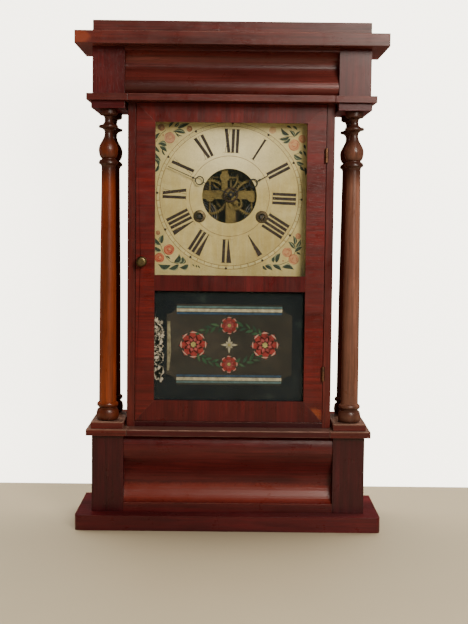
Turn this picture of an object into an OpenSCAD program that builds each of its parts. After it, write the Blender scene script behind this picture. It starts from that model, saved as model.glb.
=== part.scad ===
// Shelf clock with an ogee frieze, an ogee base and four turned columns.
// Millimetres. Origin at the centre of the base board's underside.
// The front faces -Y, +X is the viewer's right and +Z is up.

/* [Case] */
// Outer width of the central case
case_w = 261; // [255:1:280]
// Thickness of the case sides, seen as the stiles beside the door
case_side_t = 10; // [8:0.5:12]
// Height of the central case between shelf and band
case_h = 411.8; // [400:0.2:440]
// Thickness of the backboard
back_t = 8; // [5:0.5:10]
// Width of one end block
block_w = 40; // [38:1:46]
// How far the end blocks stand outside the case sides
block_gap = 2.5; // [1:0.5:6]
// How far the end blocks stand in front of the case
block_lead = 20; // [16:0.5:26]
// Height of the base's ogee box
base_box_h = 98; // [80:1:120]
// Thickness of the base board
base_t = 19; // [14:1:26]
// How far the base board stands out sideways past the end blocks
base_lip = 19; // [10:0.5:26]
// How far the base board stands in front of the end blocks
base_lead = 23.5; // [16:0.5:30]
// Radius of the base board's front corners
base_corner_r = 6; // [2:1:10]
// Thickness of the shelf above the base
shelf_t = 8; // [6:0.5:12]
// How far shelf and band stand out past the end blocks
shelf_lip = 7; // [3:0.5:10]
// Thickness of the band above the columns
band_t = 8.2; // [6:0.1:12]
// Height of the frieze
frieze_h = 58.3; // [50:0.1:70]
// Thickness of the cornice board
cornice_t = 15.6; // [12:0.1:20]
// How far the cornice board stands out sideways past the end blocks
cornice_lip = 19.5; // [10:0.5:28]
// How far the cornice board stands in front of the end blocks
cornice_lead = 23.5; // [16:0.5:30]
// Thickness of the cap board
cap_t = 16.1; // [10:0.1:20]
// How far the ends of the cap board stand back from the end blocks
cap_inset = 0.5; // [0:0.5:10]

/* [Ogee mouldings] */
// Setback of the moulding at its deepest hollow
ogee_hollow = 16; // [10:0.5:22]
// Setback of the moulding where its bulge meets the next board
ogee_undercut = 9; // [4:0.5:12]
// Height of the base moulding's flat foot
base_fillet_h = 11.5; // [6:0.5:16]
// Height of the frieze moulding's flat top
frieze_fillet_h = 4.5; // [2:0.5:8]
// Depth of the moulding's wood, from front to its flat back
ogee_wood_d = 26; // [23:1:30]

/* [Columns] */
// Clear width between the case side and a column's torus
column_gap = 9.9; // [8:0.1:11]
// Distance from the end blocks' front back to the front columns' axes
column_setback = 19.5; // [17:0.5:23]
// Distance from the back to the rear columns' axes
column_rear_d = 21; // [18:0.5:24]
// Height of the plinth under the columns
plinth_h = 8.7; // [6:0.1:12]
// Width of plinth and cap blocks
plinth_w = 41.8; // [40:0.1:43]
// Gap between the case side and the plinth and cap blocks
plinth_gap = 2.3; // [1:0.1:4]
// Height of the cap block above the columns
column_cap_h = 9.3; // [6:0.1:14]
// Radius of the column's torus
torus_r = 14.4; // [12:0.1:15]
// Radius of the shaft at its foot
shaft_foot_r = 11.1; // [9:0.1:11.5]
// Radius of the shaft at its top
shaft_top_r = 8.7; // [6.5:0.1:9]
// Radius of the turned bulb, disc and rings
bulb_r = 12.2; // [10:0.1:13]
// Radius of the two thin necks
neck_r = 4.9; // [3.5:0.1:6]

/* [Door] */
// Gap between the door's edges and the case around it
door_gap = 0.6; // [0.4:0.1:1.2]
// Thickness of the door
door_t = 16; // [14:0.5:18]
// Height of the rail under the door
case_rail_h = 6.8; // [5:0.1:12]
// Width of the door's stiles
stile_w = 24.1; // [20:0.1:28]
// Height of the door's top rail
top_rail_h = 23.6; // [18:0.1:30]
// Height of the door's middle rail
middle_rail_h = 19.9; // [14:0.1:26]
// Height of the tablet's opening
tablet_h = 140.7; // [120:0.1:150]
// Height of the door's bottom rail
bottom_rail_h = 26.6; // [20:0.1:34]
// Depth of the glass behind the door's front
glass_setback = 6; // [4:0.5:8]
// Thickness of both panes
glass_t = 2; // [1.5:0.1:3]
// Width of the step that holds a pane
rebate_w = 6; // [4:0.5:8]
// Radius of the knob
knob_r = 6.8; // [5:0.1:9]
// How far the knob stands out of the door
knob_h = 14; // [10:0.5:20]
// Height of the knob's axis above the middle rail's lower edge
knob_rise = 37; // [30:0.5:50]
// Radius of the knob's spindle
spindle_r = 2; // [1.5:0.1:2.5]
// Length of the latch tongue from the knob's axis
tongue_reach = 14; // [13:0.2:15]
// Radius of the hinge knuckles
knuckle_r = 2.2; // [2:0.1:2.6]
// Radius of the hinge pins
hinge_pin_r = 0.9; // [0.7:0.05:1.1]
// Length of a whole hinge
hinge_len = 18; // [15:1:24]
// Height of the lower hinge's middle above the door's foot
hinge_low = 63; // [40:1:90]
// Height of the upper hinge's middle above the door's foot
hinge_high = 340; // [310:1:365]

/* [Dial] */
// Distance of the dial's centre below the band
dial_drop = 114.2; // [112:0.1:122]
// Gap between the dial plate and the case sides
dial_gap = 13.5; // [11:0.5:17]
// Thickness of the dial plate
dial_t = 1.2; // [0.8:0.1:2]
// Distance from the dial plate's rear face to the closed door
dial_room = 6.5; // [5:0.5:10]
// Radius of the dial's open centre
dial_open_r = 35; // [30:0.5:37]
// How far the dial's own centre lies to the left of the hands' centre
dial_off_x = 1.7; // [0:0.1:2.5]
// How far the dial's own centre lies below the hands' centre
dial_off_z = 1.8; // [0:0.1:2.5]
// Sideways distance of the winding holes from the centre
winding_x = 40; // [38.5:0.5:42]
// Drop of the winding holes below the centre
winding_drop = 28; // [27:0.5:30]
// Radius of the winding holes
winding_hole_r = 4; // [3.4:0.1:5]
// Outer radius of the winding grommets
grommet_r = 8; // [6:0.1:9]
// Length of the minute hand
minute_len = 88.5; // [70:0.5:94]
// Length of the hour hand
hour_len = 54; // [45:1:66]
// Angle of the minute hand from twelve, clockwise
minute_angle = 293.5; // [0:0.5:360]
// Angle of the hour hand from twelve, clockwise
hour_angle = 62.5; // [0:0.5:360]

/* [Movement] */
// Distance from the backboard to the middle of the gong's wire
gong_stand = 4; // [3:0.5:6]
// Distance from the gong to the plane in which the pendulum swings
pendulum_stand = 9; // [8:0.5:12]
// Distance from the pendulum's plane to the movement's back plate
plate_stand = 7; // [6:0.5:10]
// Depth of the motion work between front plate and dial
motion_room = 6.5; // [6.5:0.5:9]
// Clear distance between the plates
plate_room = 22.5; // [22.5:0.1:23]
// Thickness of each brass plate
plate_t = 1.5; // [1.2:0.1:1.6]
// Half the width of the plates
plate_half_w = 61; // [60:0.5:64]
// Reach of the plates below the dial's centre
plate_below = 64; // [63:0.5:66]
// Reach of the plates above the dial's centre
plate_above = 76; // [75:0.5:78]
// Width of the plates' outer bars
plate_bar = 11; // [10:0.5:12]
// Radius of the pillars between the plates
pillar_r = 3; // [2.4:0.1:3.4]
// Running clearance round each pivot
pivot_gap = 0.05; // [0.02:0.01:0.08]
// Radius of the train's pivots
pivot_r = 0.8; // [0.6:0.05:1]
// Radius of the train's arbors
arbor_r = 1.4; // [1.2:0.1:1.6]
// Backlash of the wheels' teeth, as a share of the pitch
backlash = 0.16; // [0.12:0.01:0.2]
// Distance from the pendulum's pivot to the middle of its bob
pendulum_len = 276; // [260:1:285]
// Radius of the bob
bob_r = 22; // [16:0.5:26]
// Thickness of the bob
bob_t = 8; // [6:0.5:10]
// Radius of the gong's wire
gong_wire_r = 1.2; // [0.9:0.1:1.4]
// Spacing of the gong's turns
gong_pitch = 7; // [6:0.5:8]
// Height of the gong's middle above the shelf
gong_rise = 134; // [130:1:140]

/* [Hidden] */
$fn = 48;

// Levels of the case, upwards
z_shelf = base_t + base_box_h;
z_case = z_shelf + shelf_t;
z_band = z_case + case_h;
z_frieze = z_band + band_t;
z_cornice = z_frieze + frieze_h;
z_cap = z_cornice + cornice_t;

// Depths, all counted forwards from the back of the case
gong_d = back_t + gong_stand;
pendulum_d = gong_d + pendulum_stand;
back_plate_d = pendulum_d + plate_stand;
train_d = back_plate_d + plate_t;
front_plate_d = train_d + plate_room;
motion_d = front_plate_d + plate_t;
dial_back_d = motion_d + motion_room;
dial_front_d = dial_back_d + dial_t;
door_back_d = dial_back_d + dial_room;
case_d = door_back_d + door_t;
block_d = case_d + block_lead;
lip_d = block_d + shelf_lip;
base_d = block_d + base_lead;
back_y = base_d / 2;

// Widths, counted sideways from the middle
case_out = case_w / 2;
case_in = case_out - case_side_t;
block_in = case_out + block_gap;
block_out = block_in + block_w;
lip_out = block_out + shelf_lip;
base_half = block_out + base_lip;
cornice_half = block_out + cornice_lip;
cap_half = block_out - cap_inset;
plinth_in = case_out + plinth_gap;
plinth_out = plinth_in + plinth_w;
column_x = case_out + column_gap + torus_r;
column_front_d = block_d - column_setback;

// Joints between the middle and the end pieces of shelf and band
joint_inset = 2;
centre_half = case_out - joint_inset;
ogee_gap = 0.1;

// Curve of the mouldings, as shares of their curved height
ogee_hollow_at = 0.3;
ogee_crest_at = 0.8;
ogee_crest = 1.5;
ogee_steps = 10;

column_h = case_h - plinth_h - column_cap_h;

// Turnings of the column: each lobe as its half width and half height
torus_lobe = [2.7, 7.4];
groove_z = 15.2;
groove_h = 1.4;
foot_ring_z = 20.2;
foot_ring_lobe = [2.6, 3.2];
shaft_mid_share = 0.45;
shaft_mid_r = (shaft_foot_r * 3 + shaft_top_r * 2) / 5 + 0.3;
shaft_top_drop = 73.4;
waist_r = bulb_r - 4.2;
ring_drop = 67.5;
ring_rise = 5;
ring_edge = [0.6, 1.1];
bulb_drop = 50.3;
bulb_half_h = 11.2;
bulb_neck_h = 20;
disc_drop = 21.7;
disc_edge = [1.2, 1.9];
disc_flare_h = 5.5;
bell_drop = 13.4;
bell_r = 7.4;
bell_h = 5;
top_ring_r = bulb_r - 0.6;
top_ring_h = 5.6;

// Door
door_half = case_in - door_gap;
door_z0 = z_case + case_rail_h + door_gap;
door_z1 = z_band - door_gap;
tablet_z0 = door_z0 + bottom_rail_h;
tablet_z1 = tablet_z0 + tablet_h;
window_z0 = tablet_z1 + middle_rail_h;
window_z1 = door_z1 - top_rail_h;
opening_half = door_half - stile_w;
glass_d = case_d - glass_setback;
pane_gap = 0.4;
bead_t = 3;
knob_x = -(door_half - stile_w / 3);
knob_neck_r = knob_r * 0.45;
knob_foot_r = knob_r * 0.75;
knob_lobe = [knob_r / 2, 4];
knob_stand = 0.2;
knob_z = tablet_z1 + knob_rise;
tongue_t = 1.8;
tongue_w = 7;
tongue_gap = 0.5;
tongue_front_d = door_back_d - tongue_gap;
slot_gap = 1;
slot_wall = 1;
spindle_end = 0.4;
stop_gap = 0.3;

// Hinges
hinge_x = case_in - door_gap / 2;
knuckle_stand = 0.3;
hinge_d = case_d + knuckle_r + knuckle_stand;
leaf_t = 0.8;
leaf_gap = 0.05;
leaf_d = 12;
mortise_gap = 0.1;
knuckle_gap = 0.2;

// Dial and hands
dial_z = z_band - dial_drop;
dial_half = case_in - dial_gap;
strip_overlap = 8;
strip_in = dial_half - strip_overlap;
strip_t = 16;
screw_inset = 4;
screw_r = 1.2;
screw_head_r = 2.4;
screw_head_t = 1;
screw_gap = 0.02;
screw_end_gap = 1;
screw_len = 12;
grommet_tube_r = (winding_hole_r + grommet_r) / 2;
grommet_lip = 1.1;
hand_t = 0.8;
hand_ring_r = 5.1;
minute_blade_w = 1.3;
hour_blade_w = 1.5;
minute_ring_at = minute_len * 0.495;
hour_ring_at = hour_len * 0.6;
// Small lozenge on the blade outside the ring
hand_lozenge = [1.6, 2];
hand_lozenge_gap = 9;
hand_step = 1.8;
minute_hub_r = 3.2;
hour_hub_r = 4.4;
hour_hand_d = dial_front_d + hand_step;
minute_hand_d = hour_hand_d + hand_t + hand_step;

// Movement, all places seen from the front and counted from the dial's centre
centre_at = [0, 0];
great_at = [winding_x, -winding_drop];
second_at = [27, -3];
third_angle = 110;
hammer_at = [-55, 2];
pillar_x = 54;
ear_x = 50;
ear_r = 6;
ear_drop = 3;
block_side = 16;
pillar_inset = 6;
pillar_over = 1;
nut_r = 2.6;
nut_t = 1.4;
upright_w = plate_bar + 2;
cross_w = plate_bar * 0.8;
slant_w = plate_bar * 0.7;
boss_r = plate_bar * 0.55;
great_boss_r = plate_bar * 0.7;
stud_boss_r = 4;
verge_rise = 8.5;

// Teeth of the train
great_teeth = 60;
second_pinion_teeth = 10;
second_teeth = 48;
pinion_teeth = 8;
centre_teeth = 72;
third_teeth = 72;
escape_teeth = 42;
cannon_teeth = 12;
minute_wheel_teeth = 36;
hour_pinion_teeth = 12;
hour_wheel_teeth = 48;
centre_module = 0.6;
third_module = 0.5;
cannon_module = 0.5;
hour_module = 0.4;
escape_r = 15;

function reach(a, b) = norm(b - a);
function toward(a, b) = atan2(b[1] - a[1], b[0] - a[0]);
function polar(r, a) = [r * cos(a), r * sin(a)];
function across(p) = [-p[0], p[1]];
function gear_r(m, n) = m * n / 2;

great_module = 2 * reach(great_at, second_at) / (great_teeth + second_pinion_teeth);
second_module = 2 * reach(second_at, centre_at) / (second_teeth + pinion_teeth);
third_at = polar(centre_module * (centre_teeth + pinion_teeth) / 2, third_angle);
escape_reach = third_module * (third_teeth + pinion_teeth) / 2;
escape_at = [0, third_at[1] + sqrt(pow(escape_reach, 2) - pow(third_at[0], 2))];
minute_wheel_at = polar(cannon_module * (cannon_teeth + minute_wheel_teeth) / 2, -60);
verge_at = [0, escape_at[1] + escape_r + verge_rise];
strike_great_at = across(great_at);
strike_second_at = across(second_at);
fly_reach = second_module * (second_teeth + pinion_teeth) / 2;
fly_at = strike_second_at + polar(fly_reach, 120);

// Angle of a tooth on wheel b so that it meshes with wheel a
function mesh(a_at, a_teeth, a_angle, b_at, b_teeth) =
    let (way = toward(a_at, b_at), share = (way - a_angle) * a_teeth / 360)
    way + 180 - (0.5 - share) * 360 / b_teeth;

centre_pinion_angle = 0;
centre_wheel_angle = 0;
second_angle = mesh(centre_at, pinion_teeth, centre_pinion_angle, second_at, second_teeth);
great_angle = mesh(second_at, second_pinion_teeth, second_angle, great_at, great_teeth);
third_pinion_angle = mesh(centre_at, centre_teeth, centre_wheel_angle, third_at, pinion_teeth);
escape_pinion_angle = mesh(third_at, third_teeth, third_pinion_angle, escape_at, pinion_teeth);
minute_wheel_angle = mesh(centre_at, cannon_teeth, 0, minute_wheel_at, minute_wheel_teeth);
hour_wheel_angle = mesh(minute_wheel_at, hour_pinion_teeth, 0, centre_at, hour_wheel_teeth);
strike_second_angle = 0;
strike_great_angle =
    mesh(strike_second_at, second_pinion_teeth, 0, strike_great_at, great_teeth);
fly_angle = mesh(strike_second_at, second_teeth, 0, fly_at, pinion_teeth);

// Distances of the wheels' rear faces from the case's back
great_d = train_d + 2;
centre_wheel_d = train_d + 6.5;
strike_second_d = front_plate_d - 2.3;
third_wheel_d = train_d + 13.5;
second_wheel_d = train_d + 18;
escape_d = train_d + 2.5;
wheel_t = 1.2;
great_t = 1.8;
pinion_over = 0.8;
end_shake = 0.4;

// Motion work between front plate and dial
cannon_d = motion_d + 0.4;
cannon_t = 2;
motion_wheel_t = 1;
minute_wheel_d = motion_d + 0.8;
hour_wheel_d = motion_d + 3;
stud_r = 1.2;
stud_over = 1;
hour_pipe_r = 2.6;
pipe_over = 0.4;
arbor_over = 1;
winding_arbor_r = 3;
winding_square_w = winding_arbor_r * 1.4;
winding_over = 0.5;
spring_out_r = 22;
spring_t = 0.5;
spring_gap = 0.7;
spring_turns = 7;
spring_steps = 24;

// Escapement
escape_root_r = escape_r - 2.6;
escape_rim = 1.6;
escape_hub_r = 3;
escape_spoke_w = 1.4;
// Where a pointed tooth starts, peaks and ends, as shares of the pitch
escape_tooth = [0, 0.35, 0.45, 0.6];
pallet_gap = 1.3;
pallet_angle = 38;
verge_hub_r = 2.6;
verge_arm_w = 1.4;

// Pendulum, crutch and hammer hang behind the back plate, in front of the gong
rod_r = 0.9;
crutch_r = 0.6;
wire_knee = 0.12;
crutch_len = 32;
crutch_w = 1.8;
crutch_t = 1.4;
crutch_d = pendulum_d + 3.4;
prong_over = 2;
cock_rise = 2.4;
cock_h = 5.6;
cock_half_w = 4;
cock_over = 2.5;
cock_slot = 1.6;
strip_t_half = 0.15;
strip_w_half = 1.5;
strip_len = 8;
strip_bar_half = 2.4;
strip_bar_h = 1.5;
rod_over = 10;
nut_drop = 4;
rating_nut_r = 4;
rating_nut_h = 3;
gong_in_r = 12;
gong_half_turns = 8;
gong_block_w = 14;
gong_block_over = 2;
hammer_r = 3.4;
hammer_len = 8;
hammer_gap = 1.2;
hammer_rod_d = pendulum_d + 3.5;
hammer_bend = [-30, -42];
gong_reach = gong_in_r + (gong_half_turns - 2) * gong_pitch / 2 + gong_pitch / 4 + gong_wire_r;
hammer_x = -(gong_reach + hammer_len / 2 + hammer_gap);
fly_wing = [20, 0.6];
fly_hub_r = 2.2;
fly_span_d = [train_d + 5, train_d + 16];
pivot_z = dial_z + verge_at[1];
gong_z = z_case + gong_rise;

wood = "sienna";
dark_wood = "saddlebrown";
brass = "goldenrod";
steel = "slategray";

// A board between two places across, two distances from the back and two heights
module board(x, d, z) {
    translate([x[0], back_y - d[1], z[0]])
        cube([x[1] - x[0], d[1] - d[0], z[1] - z[0]]);
}

// The same board on the left and on the right
module board_pair(x, d, z) {
    board(x, d, z);
    board([-x[1], -x[0]], d, z);
}

// A flat shape facing the viewer, from distance d0 to d1 in front of the back
module facing(at, d0, d1) {
    translate([at[0], back_y - d0, at[1]])
        rotate([90, 0, 0])
        linear_extrude(d1 - d0)
        children();
}

// A turned shape whose axis runs towards the viewer, starting at distance d
module turned_facing(at, d) {
    translate([at[0], back_y - d, at[1]])
        rotate([90, 0, 0])
        children();
}

// A shape drawn as distance from the back and height, drawn out along X
module along_x(x) {
    translate([x[0], back_y, 0])
        rotate([90, 0, 90])
        linear_extrude(x[1] - x[0])
        mirror([1, 0])
        children();
}

// Points on an ellipse, from one angle to another
function sweep(at, r, a0, a1, n) =
    [for (i = [0:n]) let (a = a0 + (a1 - a0) * i / n) at + [r[0] * cos(a), r[1] * sin(a)]];

// Setback of the ogee curve at a share t of its height, counted from the flat foot
function ogee_setback(t) =
    t < ogee_hollow_at
    ? ogee_hollow * sqrt(1 - pow(1 - t / ogee_hollow_at, 2))
    : t < ogee_crest_at
    ? ogee_crest + (ogee_hollow - ogee_crest)
        * (1 + cos(180 * (t - ogee_hollow_at) / (ogee_crest_at - ogee_hollow_at))) / 2
    : ogee_crest + (ogee_undercut - ogee_crest)
        * (1 - sqrt(1 - pow(min(1, (t - ogee_crest_at) / (1 - ogee_crest_at)), 2)));

// Shares of the height at which the curve is drawn, closer together at its two ends
function ogee_shares() = concat(
    [for (i = [0:ogee_steps]) ogee_hollow_at * (1 - cos(90 * i / ogee_steps))],
    [for (i = [1:ogee_steps]) ogee_hollow_at + (ogee_crest_at - ogee_hollow_at) * i / ogee_steps],
    [for (i = [1:ogee_steps]) ogee_crest_at + (1 - ogee_crest_at) * sin(90 * i / ogee_steps)]);

// Moulding of a given height, with its flat fillet at the bottom
module ogee_moulding(height, fillet_h) {
    curve_h = height - fillet_h;
    back_d = block_d - ogee_wood_d;
    half = block_in - ogee_gap;
    along_x([-half, half])
        polygon(concat(
            [[back_d, 0], [block_d, 0], [block_d, fillet_h]],
            [for (t = ogee_shares()) [block_d - ogee_setback(t), fillet_h + curve_h * t]],
            [[back_d, height]]));
}

module base_board() {
    r = base_corner_r;
    color(wood)
        linear_extrude(base_t) {
            translate([-base_half, r - base_d / 2])
                square([2 * base_half, base_d - r]);
            translate([r - base_half, -base_d / 2])
                square([2 * (base_half - r), r]);
            for (side = [-1, 1])
                translate([side * (base_half - r), r - base_d / 2])
                circle(r);
        }
}

module base_blocks() {
    color(dark_wood)
        board_pair([block_in, block_out], [0, block_d], [base_t, z_shelf]);
}

module base_ogee() {
    color(wood)
        translate([0, 0, base_t])
        ogee_moulding(base_box_h, base_fillet_h);
}

module shelf_ends() {
    color(wood)
        board_pair([centre_half, lip_out], [0, lip_d], [z_shelf, z_case]);
}

module shelf_centre() {
    color(wood)
        board([-centre_half, centre_half], [back_t, lip_d], [z_shelf, z_case]);
}

module column_plinths() {
    color(dark_wood)
        board_pair([plinth_in, plinth_out], [0, block_d], [z_case, z_case + plinth_h]);
}

module column_caps() {
    color(dark_wood)
        board_pair([plinth_in, plinth_out], [0, block_d], [z_band - column_cap_h, z_band]);
}

// Outline of the turned column, as radius and height, from its foot to its top
function column_profile(h) = concat(
    [[0, 0]],
    sweep([torus_r - torus_lobe[0], torus_lobe[1]], torus_lobe, -60, 85, 12),
    [[shaft_foot_r, groove_z], [shaft_foot_r, groove_z + groove_h]],
    sweep([shaft_foot_r, foot_ring_z], foot_ring_lobe, -80, 80, 10),
    [[shaft_foot_r, foot_ring_z + foot_ring_lobe[1]], [shaft_mid_r, h * shaft_mid_share],
        [shaft_top_r, h - shaft_top_drop]],
    flare([shaft_top_r, h - shaft_top_drop], [bulb_r - ring_edge[0], h - ring_drop - ring_edge[1]]),
    sweep([waist_r, h - ring_drop], [bulb_r - waist_r, ring_rise], 0, 80, 8),
    sweep([waist_r, h - bulb_drop], [bulb_r - waist_r, bulb_half_h], -85, 0, 8),
    neck_curve(h - bulb_drop, h - bulb_drop + bulb_neck_h),
    disc_curve(h - disc_drop),
    flare([neck_r, h - bell_drop], [bell_r, h - bell_drop + bell_h]),
    sweep([bell_r, h - top_ring_h], [top_ring_r - bell_r, bell_drop - bell_h - top_ring_h], -80, 0, 6),
    [[top_ring_r, h], [0, h]]);

function reversed(points) = [for (i = [len(points) - 1:-1:0]) points[i]];

// Smooth fall from the bulb's radius at one height to the neck's radius at another
function neck_curve(z0, z1) =
    [for (i = [1:10]) [neck_r + (bulb_r - neck_r) * (1 + cos(18 * i)) / 2, z0 + (z1 - z0) * i / 10]];

// Hollow curve that leaves one point upright and meets the other one level
function flare(from, to) =
    [for (i = [0:8])
        [from[0] + (to[0] - from[0]) * (1 - cos(11.25 * i)), from[1] + (to[1] - from[1]) * sin(11.25 * i)]];

// Thin disc between two hollow curves, with its edge at height z
function disc_curve(z) =
    let (edge = [bulb_r - disc_edge[0], disc_edge[1]])
    concat(
        flare([neck_r, z - edge[1] - disc_flare_h], [edge[0], z - edge[1]]),
        sweep([edge[0], z], disc_edge, -60, 60, 6),
        reversed(flare([neck_r, z + edge[1] + disc_flare_h], [edge[0], z + edge[1]])));

module column_at(side, d) {
    color("peru")
        translate([side * column_x, back_y - d, z_case + plinth_h])
        rotate_extrude($fn = 64)
        polygon(column_profile(column_h));
}

module column_front_left() {
    column_at(-1, column_front_d);
}

module column_front_right() {
    column_at(1, column_front_d);
}

module column_rear_left() {
    column_at(-1, column_rear_d);
}

module column_rear_right() {
    column_at(1, column_rear_d);
}

module band_ends() {
    color(wood)
        board_pair([centre_half, lip_out], [0, lip_d], [z_band, z_frieze]);
}

module band_centre() {
    color(wood)
        board([-centre_half, centre_half], [back_t, lip_d], [z_band, z_frieze]);
}

module frieze_blocks() {
    color(dark_wood)
        board_pair([block_in, block_out], [0, block_d], [z_frieze, z_cornice]);
}

module frieze_ogee() {
    color(wood)
        translate([0, 0, z_cornice])
        mirror([0, 0, 1])
        ogee_moulding(frieze_h, frieze_fillet_h);
}

module cornice_board() {
    color(wood)
        board([-cornice_half, cornice_half], [0, block_d + cornice_lead], [z_cornice, z_cap]);
}

module cap_board() {
    color(dark_wood)
        board([-cap_half, cap_half], [0, block_d], [z_cap, z_cap + cap_t]);
}

// Side board of the case, on the right; its front edge shows beside the door
module case_side() {
    board([case_in, case_out], [back_t, case_d], [z_case, z_band]);
}

module case_side_left() {
    slot_reach = knob_x - norm([tongue_reach, tongue_w / 2]) - slot_gap;
    slot_d0 = tongue_front_d - tongue_t - slot_gap / 2;
    slot_d1 = tongue_front_d + slot_gap / 2;
    color(wood)
        difference() {
            mirror([1, 0, 0])
                case_side();
            board([slot_reach, -case_in + slot_wall], [slot_d0, slot_d1],
                [knob_z - tongue_w / 2 - slot_gap, knob_z + tongue_reach + slot_gap]);
        }
}

module case_side_right() {
    color(wood)
        difference() {
            case_side();
            hinge_mortises([hinge_x - 1, hinge_x + leaf_gap + leaf_t + mortise_gap]);
        }
}

// The backboard also closes base and frieze, between their end blocks
module backboard() {
    color("tan") {
        board([-block_in, block_in], [0, back_t], [base_t, z_shelf]);
        board([-centre_half, centre_half], [0, back_t], [z_shelf, z_case]);
        board([-case_out, case_out], [0, back_t], [z_case, z_band]);
        board([-centre_half, centre_half], [0, back_t], [z_band, z_frieze]);
        board([-block_in, block_in], [0, back_t], [z_frieze, z_cornice]);
    }
}

module case_bottom_rail() {
    color(wood)
        board([-case_in, case_in], [door_back_d, case_d], [z_case, z_case + case_rail_h]);
}

// Two uprights that carry the dial, and the stop that the closed door meets
module dial_strips() {
    strip_z = [dial_z - dial_half, z_band];
    color("burlywood") {
        difference() {
            board_pair([strip_in, case_in], [dial_back_d - strip_t, dial_back_d], strip_z);
            dial_screw_holes(screw_r + screw_gap);
        }
        board([-case_in, -opening_half], [door_back_d - strip_t, door_back_d - stop_gap],
            [z_case, tablet_z1]);
    }
}

// Wooden blocks behind the ears of the back plate
module movement_blocks() {
    half = block_side / 2;
    color("burlywood")
        difference() {
            for (at = ear_places())
                board([at[0] - half, at[0] + half], [back_t, back_plate_d],
                    [dial_z + at[1] - half, dial_z + at[1] + half]);
            for (at = ear_places())
                turned_facing(on_dial(at), back_plate_d - screw_len)
                cylinder(h = screw_len + 1, r = screw_r + screw_gap);
        }
}

// Door member with mitred ends, from its outline, with the steps for both panes
module door_member(outline) {
    half = opening_half + rebate_w;
    difference() {
        facing([0, 0], door_back_d, case_d)
            polygon(outline);
        board([-half, half], [door_back_d - 1, glass_d],
            [tablet_z0 - rebate_w, tablet_z1 + rebate_w]);
        board([-half, half], [door_back_d - 1, glass_d],
            [window_z0 - rebate_w, window_z1 + rebate_w]);
    }
}

function stile_outline(side) = [
    [side * door_half, door_z0], [side * door_half, door_z1],
    [side * opening_half, window_z1], [side * opening_half, tablet_z0]];

module door_stile_left() {
    color(wood)
        difference() {
            door_member(stile_outline(-1));
            turned_facing([knob_x, knob_z], door_back_d - 1)
                cylinder(h = door_t + 2, r = spindle_r + pivot_gap);
        }
}

module door_stile_right() {
    color(wood)
        difference() {
            door_member(stile_outline(1));
            hinge_mortises([hinge_x - leaf_gap - leaf_t - mortise_gap, hinge_x + 1]);
        }
}

module door_top_rail() {
    color(wood)
        door_member([[-door_half, door_z1], [door_half, door_z1],
            [opening_half, window_z1], [-opening_half, window_z1]]);
}

module door_middle_rail() {
    color(wood)
        door_member([[-opening_half, tablet_z1], [opening_half, tablet_z1],
            [opening_half, window_z0], [-opening_half, window_z0]]);
}

module door_bottom_rail() {
    color(wood)
        door_member([[-door_half, door_z0], [door_half, door_z0],
            [opening_half, tablet_z0], [-opening_half, tablet_z0]]);
}

// Pane in its step, between two heights of an opening
module pane(z0, z1) {
    reach_x = opening_half + rebate_w - pane_gap;
    lap = rebate_w - pane_gap;
    board([-reach_x, reach_x], [glass_d - glass_t, glass_d], [z0 - lap, z1 + lap]);
}

module dial_glass() {
    color("lightcyan", 0.4)
        pane(window_z0, window_z1);
}

module tablet_glass() {
    color("midnightblue")
        pane(tablet_z0, tablet_z1);
}

// Four strips that hold one pane in its step from behind
module bead_frame(z0, z1) {
    outer = opening_half + rebate_w;
    inner = outer - bead_t;
    low = z0 - rebate_w;
    high = z1 + rebate_w;
    d = [glass_d - glass_t - bead_t, glass_d - glass_t];
    board_pair([inner, outer], d, [low, high]);
    board([-inner, inner], d, [low, low + bead_t]);
    board([-inner, inner], d, [high - bead_t, high]);
}

module glazing_strips() {
    color(dark_wood) {
        bead_frame(tablet_z0, tablet_z1);
        bead_frame(window_z0, window_z1);
    }
}

// Turned knob and its spindle through the stile
module door_knob() {
    spindle_back = tongue_front_d - tongue_t - spindle_end;
    foot_t = 1.2;
    neck_z = [2.4, 5];
    color("darkgoldenrod") {
        turned_facing([knob_x, knob_z], spindle_back)
            cylinder(h = case_d + knob_stand + foot_t - spindle_back, r = spindle_r);
        turned_facing([knob_x, knob_z], case_d + knob_stand)
            rotate_extrude()
            polygon(concat(
                [[0, 0], [knob_foot_r, 0], [knob_foot_r, foot_t]],
                [for (z = neck_z) [knob_neck_r, z]],
                sweep([knob_r - knob_lobe[0], knob_h - knob_lobe[1]], knob_lobe, -70, 88, 12),
                [[0, knob_h]]));
    }
}

// Tongue behind the stile, upright while the door is unlatched
module latch_tongue() {
    color(brass)
        facing([knob_x, knob_z], tongue_front_d - tongue_t, tongue_front_d)
        difference() {
            union() {
                translate([-tongue_w / 2, 0])
                    square([tongue_w, tongue_reach]);
                circle(tongue_w / 2);
            }
            circle(spindle_r + screw_gap);
        }
}

function hinge_places() = [door_z0 + hinge_low, door_z0 + hinge_high];

// Recesses for the hinge leaves, between two places across
module hinge_mortises(x) {
    for (z = hinge_places())
        board(x, [case_d - leaf_d - mortise_gap, case_d + 1],
            [z - hinge_len / 2 - mortise_gap, z + hinge_len / 2 + mortise_gap]);
}

// One knuckle of a hinge between two heights, with its bridge to the leaf on one side
module knuckle(z0, z1, side) {
    difference() {
        union() {
            translate([hinge_x, back_y - hinge_d, z0])
                cylinder(h = z1 - z0, r = knuckle_r);
            board(leaf_span(side), [case_d - leaf_gap, hinge_d], [z0, z1]);
        }
        translate([hinge_x, back_y - hinge_d, z0 - 1])
            cylinder(h = z1 - z0 + 2, r = hinge_pin_r + pivot_gap);
    }
}

function leaf_span(side) = side > 0
    ? [hinge_x + leaf_gap, hinge_x + leaf_gap + leaf_t]
    : [hinge_x - leaf_gap - leaf_t, hinge_x - leaf_gap];

module hinge_leaf(z, side) {
    board(leaf_span(side), [case_d - leaf_d, case_d],
        [z - hinge_len / 2, z + hinge_len / 2]);
}

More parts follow.
